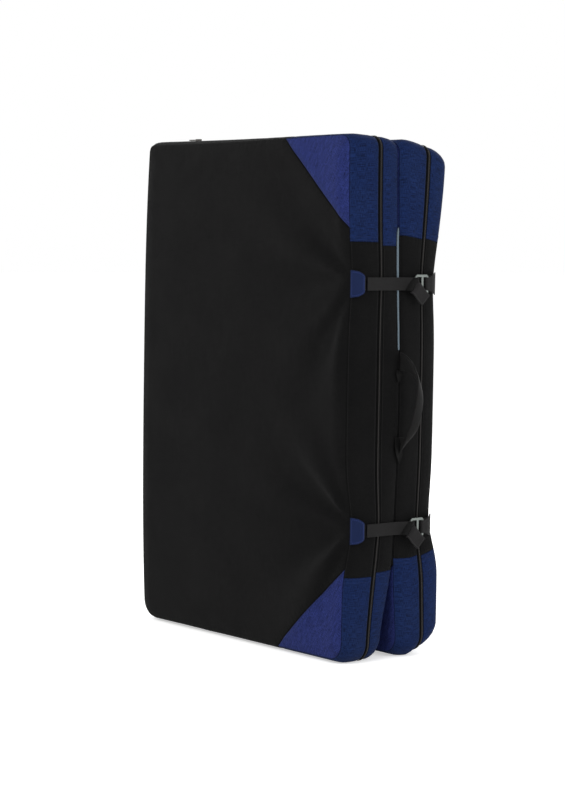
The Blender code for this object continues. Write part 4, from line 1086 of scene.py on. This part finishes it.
# the carry handle: middles and half widths; it twists over from its wide sewn ends
handleRows = (
    ((0.3055, -0.0059, 0.585), (0.0, 0.0, 0.018)), ((0.321, -0.0059, 0.5825), (0.003, -0.002, 0.0155)),
    ((0.3405, -0.0059, 0.5735), (0.006, -0.005, 0.0112)), ((0.3555, -0.0055, 0.556), (0.0072, -0.0072, 0.006)),
    ((0.362, -0.005, 0.5335), (0.004, -0.0092, 0.002)), ((0.3605, -0.0045, 0.507), (0.001, -0.0098, -0.001)),
    ((0.3545, -0.004, 0.48), (-0.002, -0.0092, -0.002)), ((0.345, -0.0045, 0.455), (-0.005, -0.0078, -0.004)),
    ((0.333, -0.005, 0.4365), (-0.0065, -0.006, -0.0085)), ((0.319, -0.0055, 0.4245), (-0.004, -0.003, -0.0135)),
    ((0.3055, -0.0059, 0.4195), (0.0, 0.0, -0.0185)))
handleLook = {"step": 0.002, "body": "handle", "material": "handleWeb", "nodes": ["carry_handle"],
              "thickness": 0.0024, "across": 10, "ripple": 0.0008, "cup": 0.0016}
# dark strips under its two ends, painted shade of the cloth gathered there: middles and half widths in y
anchorShadeRows = {
    "upper": ((0.3072, -0.0135, 0.569, 0.003), (0.31, -0.0122, 0.56, 0.0072), (0.308, -0.0105, 0.545, 0.002)),
    "lower": ((0.3072, -0.012, 0.438, 0.004), (0.3108, -0.0108, 0.421, 0.0092), (0.3104, -0.008, 0.403, 0.0078),
              (0.3075, -0.0045, 0.386, 0.0012)),
}
anchorShadeLook = {"step": 0.0015, "body": "front_half", "material": "paintedShadeWeb", "thickness": 0.0016, "across": 8,
              "ripple": 0.0004, "cup": 0.0012}


def makeHandle():
    makeStrip("handleWeb", handleRows, handleLook)
    for end, rows in anchorShadeRows.items():
        makeStrip("handleAnchorShade_" + end, [(place, (0.0, half, 0.0)) for *place, half in rows], anchorShadeLook)


trimRows = (
    ((0.3061, -0.0108, 0.6074), (0.0, 0.0015, 0.0)), ((0.3042, -0.0118, 0.6681), (0.0, 0.0018, 0.0)),
    ((0.3018, -0.0122, 0.7287), (0.0, 0.0021, 0.0)), ((0.2992, -0.0118, 0.7893), (0.0, 0.0024, 0.0)),
    ((0.2974, -0.0103, 0.835), (0.0, 0.0021, 0.001)), ((0.297, -0.0093, 0.8425), (0.0, 0.0008, 0.001)))
trimLook = {"step": 0.004, "body": "front_half", "material": "edgeTrim", "nodes": ["edge_trim"],
            "thickness": 0.0018, "across": 4}


# inner blocks of each half: near and far depth from the fold, and material
foamBlocks = {
    "foam_landing": (0.0045, 0.0195, "firmFoam"),
    "foam_core": (0.0198, 0.1045, "softFoam"),
    "foam_base": (0.1048, 0.1195, "firmFoam"),
}
foamInset = 0.0052
foamStep = 0.02


def makeFoam(side):
    for block, (near, far, material) in foamBlocks.items():
        size = Vector((pad["width"] - foamInset * 2, far - near, padHigh - foamInset * 2))
        bm = makeBlock(size, (0.0, (near + far) / 2, padHigh / 2))
        for axis, low, high in ((0, -size.x / 2, size.x / 2), (2, foamInset, padHigh - foamInset)):
            cutRows(bm, axis, [], low, high, foamStep)
        for vert in bm.verts:
            x, depth, z = vert.co
            vert.co = halfForm(x, z, depth, side)
        turnFaces(bm, side)
        node = sideNames[side] + "_" + block
        finishPiece("block_" + node, bm, sideNames[side] + "_half", material, [node])


coil = {"pitch": 0.0016, "length": 0.0017, "rise": 0.0011, "sink": 0.45, "stopFromHinge": 0.06, "stations": 5,
        "around": 8, "lean": 0.16, "narrow": 0.72, "inSeam": 0.3}


def zipPlace(reach):
    # place on the flat form at a reach along the zip, which runs round three sides of the half
    run = pad["width"] - coil["stopFromHinge"]
    if reach < run:
        return padHalf - run + reach, padHigh
    if reach < run + padHigh:
        return padHalf, padHigh - (reach - run)
    return padHalf - (reach - run - padHigh), 0.0


def makeCoil(side):
    # the zip's closed coil: a low band whose bars rise and widen tooth by tooth
    total = (pad["width"] - coil["stopFromHinge"]) * 2 + padHigh
    count = round(total / coil["pitch"]) * coil["stations"]
    depth = pad["zipFromFold"][side]
    line = [halfForm(*zipPlace(total * index / count), depth, side) for index in range(count + 1)]
    across = Vector((0.0, 1.0, 0.0))
    frames = []
    for index in range(count + 1):
        ahead = (line[min(index + 2, count)] - line[max(index - 2, 0)]).normalized()
        outward = ahead.cross(across).normalized()
        frames.append((outward.cross(ahead), outward))
    bm = bmesh.new()
    bmesh.ops.create_grid(bm, x_segments=count, y_segments=coil["around"], size=0.5)
    for vert in bm.verts:
        index = round((vert.co.x + 0.5) * count)
        level, outward = frames[index]
        turn = (vert.co.y + 0.5) * math.pi
        bar = abs(math.sin(math.pi * index / coil["stations"]))
        lean = coil["lean"] if (index // coil["stations"]) % 2 else -coil["lean"]
        spread = coil["narrow"] + (1.0 - coil["narrow"]) * bar
        wide = coil["length"] * (math.cos(turn) * spread + lean * bar)
        tall = coil["rise"] * (math.sin(turn) * (coil["sink"] + (1.0 - coil["sink"]) * bar))
        tall -= cover["seamDip"] * coil["inSeam"]
        vert.co = line[index] + level * wide + outward * tall
    bm.normal_update()
    finishPiece("coil_" + sideNames[side], bm, sideNames[side] + "_half", "zipCoil", [])


webHalf = 0.0125
# padded shoulder straps: height, half width, and how far out the left and the right one lie
shoulder = {
    "middles": {"left": -0.1348, "right": 0.0652},
    "rows": ((0.78, 0.02, 0.1292, 0.1228), (0.759, 0.0216, 0.1299, 0.1232), (0.7296, 0.0271, 0.1319, 0.1251),
             (0.696, 0.0322, 0.1338, 0.1271), (0.633, 0.0325, 0.1341, 0.1276), (0.57, 0.0325, 0.1342, 0.1277),
             (0.507, 0.0325, 0.1342, 0.1277), (0.444, 0.0322, 0.1341, 0.1276), (0.4104, 0.0271, 0.1325, 0.1259),
             (0.381, 0.0216, 0.1307, 0.124), (0.36, 0.02, 0.1301, 0.1234)),
    "edgeHalf": 0.0034,
    "webOut": 0.00854,
    "wideFrom": 0.0271,
    "webDrop": 0.62,
    "edging": {"step": 0.004, "body": "back_half", "material": "webbing", "thickness": 0.0018, "across": 4,
               "ripple": 0.0004},
    "web": {"step": 0.006, "body": "back_half", "material": "stitchedWeb", "ripple": 0.0004},
}
# webbing under each shoulder strap: height, and how far out the left and the right one lie
lowerWeb = ((0.2, 0.1267, 0.1219), (0.2399, 0.1272, 0.1209), (0.2798, 0.1275, 0.1206), (0.3198, 0.1277, 0.121),
            (0.3597, 0.1279, 0.1212), (0.373, 0.1281, 0.1214))
lowerWebLook = {"step": 0.006, "body": "back_half", "material": "webbing"}
# hip belt wings from the root to the buckle: half height, then place along and how far out, left and right
wing = {
    "height": 0.14,
    "rows": ((0.037, -0.2543, 0.1306, 0.1847, 0.1245), (0.0411, -0.2353, 0.1318, 0.1657, 0.126),
             (0.0376, -0.2068, 0.1311, 0.1372, 0.1259), (0.0313, -0.1688, 0.1298, 0.0992, 0.1255),
             (0.0249, -0.1308, 0.1284, 0.0612, 0.1252), (0.0214, -0.1023, 0.1275, 0.0327, 0.1252),
             (0.02, -0.0775, 0.127, 0.0079, 0.1255)),
    "edgeHalf": 0.0028,
    "webOut": 0.0066,
    "edging": {"step": 0.004, "material": "webbing", "thickness": 0.0018, "across": 4},
    "web": {"step": 0.005, "material": "stitchedWeb"},
}
padLook = {
    "voxel": 0.005,
    "frames": 20,
    "cap": 0.0022,
    "backCap": 0.0003,
    "restsBelow": -0.3,
    "inset": 0.0006,
    "settings": {"quality": 5, "bending_stiffness": 0.6, "use_pressure": True, "uniform_pressure_force": 4.0},
}


def swellPad(node):
    # the frame's pad remeshed finely, then blown up a little as cloth, held down on the side that rests
    holder = addObject("swelling", bpy.data.objects[node].data.copy())
    remesh = holder.modifiers.new("remesh", "REMESH")
    remesh.mode = "VOXEL"
    remesh.voxel_size = padLook["voxel"]
    shape = bpy.data.meshes.new_from_object(holder.evaluated_get(bpy.context.evaluated_depsgraph_get()))
    holder.modifiers.clear()
    holder.data = shape
    start = [vert.co.copy() for vert in shape.vertices]
    normals = [vert.normal.copy() for vert in shape.vertices]
    moved = runCloth(holder, padLook["frames"], padLook["settings"])
    bpy.data.objects.remove(holder)
    bm = bmesh.new()
    bm.from_mesh(shape)
    bm.verts.ensure_lookup_table()
    for vert, before, after, normal in zip(bm.verts, start, moved, normals):
        change = (after - before).dot(normal)
        cap = padLook["backCap"] if normal.y < padLook["restsBelow"] else padLook["cap"]
        vert.co = before + normal * (min(max(change, 0.0), cap) - padLook["inset"])
    bmesh.ops.smooth_vert(bm, verts=bm.verts, factor=0.5, use_axis_x=True, use_axis_y=True, use_axis_z=True)
    bm.normal_update()
    return bm


def makePad(node, body):
    piece = finishPiece("pad_" + node, swellPad(node), body, "harnessMesh", [node])
    finer = piece.modifiers.new("finer", "SUBSURF")
    finer.levels = 1
    finer.render_levels = 1


def roundOutline(middles, halves, edgeHalf):
    # closed line round a flat pad, from its middles and half sizes, down one side and back up the other
    edge = []
    for sign in (-1.0, 1.0):
        side = [(middle + half * sign, (0.0, edgeHalf, 0.0)) for middle, half in zip(middles, halves)]
        edge += side if sign < 0 else side[::-1]
    return edge + edge[:1]


def makeShoulder(side, column):
    x = shoulder["middles"][side]
    middles, halves, line = [], [], []
    for height, half, *outs in shoulder["rows"]:
        out = outs[column]
        middles.append(Vector((x, out, height)))
        halves.append(Vector((half, 0.0, 0.0)))
        drop = max(0.0, shoulder["wideFrom"] - half) * shoulder["webDrop"]
        line.append(((x, out + shoulder["webOut"] - drop, height), (webHalf, 0.0, 0.0)))
    makeStrip("edging_" + side, roundOutline(middles, halves, shoulder["edgeHalf"]), shoulder["edging"])
    makeStrip("runner_" + side, line, shoulder["web"])
    makePad("shoulder_strap_" + side, "back_half")
    line = [((x, outs[column], height), (webHalf, 0.0, 0.0)) for height, *outs in lowerWeb]
    makeStrip("lowerWeb_" + side, line, {**lowerWebLook, "nodes": ["lower_webbing_" + side]})


def makeWing(side, column):
    body = "belt_" + side
    middles, halves, line = [], [], []
    for half, *places in wing["rows"]:
        x, out = places[column * 2:column * 2 + 2]
        middles.append(Vector((x, out, wing["height"])))
        halves.append(Vector((0.0, 0.0, half)))
        line.append(((x, out + wing["webOut"], wing["height"]), (0.0, 0.0, webHalf)))
    outline = roundOutline(middles, halves, wing["edgeHalf"])
    makeStrip("wingEdging_" + side, outline, {**wing["edging"], "body": body})
    makeStrip("wingWeb_" + side, line, {**wing["web"], "body": body, "turn": 1.0 if side == "left" else -1.0})
    makePad("belt_wing_" + side, body)


yoke = {
    "height": 0.8053,
    "half": 0.025,
    "places": ((-0.1848, 0.1285), (-0.1098, 0.1273), (-0.0348, 0.1257), (0.0402, 0.1232), (0.1152, 0.1194)),
    "look": {"step": 0.006, "body": "back_half", "material": "sewnPatch", "nodes": ["harness_yoke"],
             "thickness": 0.0024, "across": 10, "ripple": 0.0005, "turn": -1.0},
}


def makeHarness():
    rows = [((x, out, yoke["height"]), (0.0, 0.0, yoke["half"])) for x, out in yoke["places"]]
    makeStrip("yokeBand", rows, yoke["look"])
    for column, side in enumerate(("left", "right")):
        makeShoulder(side, column)
        makeWing(side, column)


hinge = {
    "x": -0.3675,
    "y": -0.00593,
    "half": 0.0245,
    "ends": (0.06, 0.94),
    "spans": 8,
    "turnFrom": 0.0075,
    "look": {"step": 0.012, "body": None, "material": "sewnPatch", "nodes": ["hinge_fabric"],
             "thickness": 0.0012, "across": 24, "ripple": 0.0004},
}


def makeHinge():
    x, y, spans = hinge["x"], hinge["y"], hinge["spans"]
    low, high = hinge["ends"]
    rows = [((x, y, low + (high - low) * step / spans), (0.0, hinge["half"], 0.0)) for step in range(spans + 1)]
    piece = makeStrip("hingeCloth", rows, hinge["look"])
    middle = (low + high) / 2
    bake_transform(piece, "front_half", "back_half", start=(x, y - hinge["turnFrom"], middle),
             end=(x, y + hinge["turnFrom"], middle))


hardShape = {"merge": 0.00002, "flat": math.radians(1.0), "sharp": math.radians(30.0), "segments": 3}


def makeHard(node, body, material, width):
    # the frame's own shape with rounded edges
    bm = bmesh.new()
    bm.from_mesh(bpy.data.objects[node].data)
    bmesh.ops.remove_doubles(bm, verts=bm.verts, dist=hardShape["merge"])
    bmesh.ops.dissolve_limit(bm, angle_limit=hardShape["flat"], verts=bm.verts, edges=bm.edges)
    sharp = [edge for edge in bm.edges if edge.is_manifold and edge.calc_face_angle() > hardShape["sharp"]]
    bmesh.ops.bevel(bm, geom=sharp, offset=width, segments=hardShape["segments"], profile=0.5, affect="EDGES",
                    material=-1, clamp_overlap=True)
    piece = finishPiece("shaped_" + node, bm, body, material, [node])
    weighted = piece.modifiers.new("evenShine", "WEIGHTED_NORMAL")
    weighted.keep_sharp = False


def makeHardware():
    for level in ("upper", "lower"):
        makeHard(level + "_hook", level + "_closure", "hookMetal", 0.0006)
    for sideName in sideNames.values():
        makeHard(sideName + "_zip_slider", sideName + "_zip_runner", "zipMetal", 0.0003)
    for side in ("left", "right"):
        makeHard("adjuster_" + side, "back_half", "bucklePlastic", 0.0007)
        makeHard("buckle_" + side, "belt_" + side, "bucklePlastic", 0.0009)


looks = makeLooks()
for side in (front, back):
    makeCovers(side)
    makeFoam(side)
    makeCoil(side)
    print("stage: cover, foam and zip of the " + sideNames[side] + " half")
makeClosures()
makeHandle()
makeStrip("trimRibbon", trimRows, trimLook)
makeHinge()
print("stage: straps, handle and hinge")
makeHarness()
print("stage: harness")
makeHardware()
print("stage: hooks, sliders and buckles")

makeCamera()
makeStage()
makeLamps()
print("stage: camera and lights")
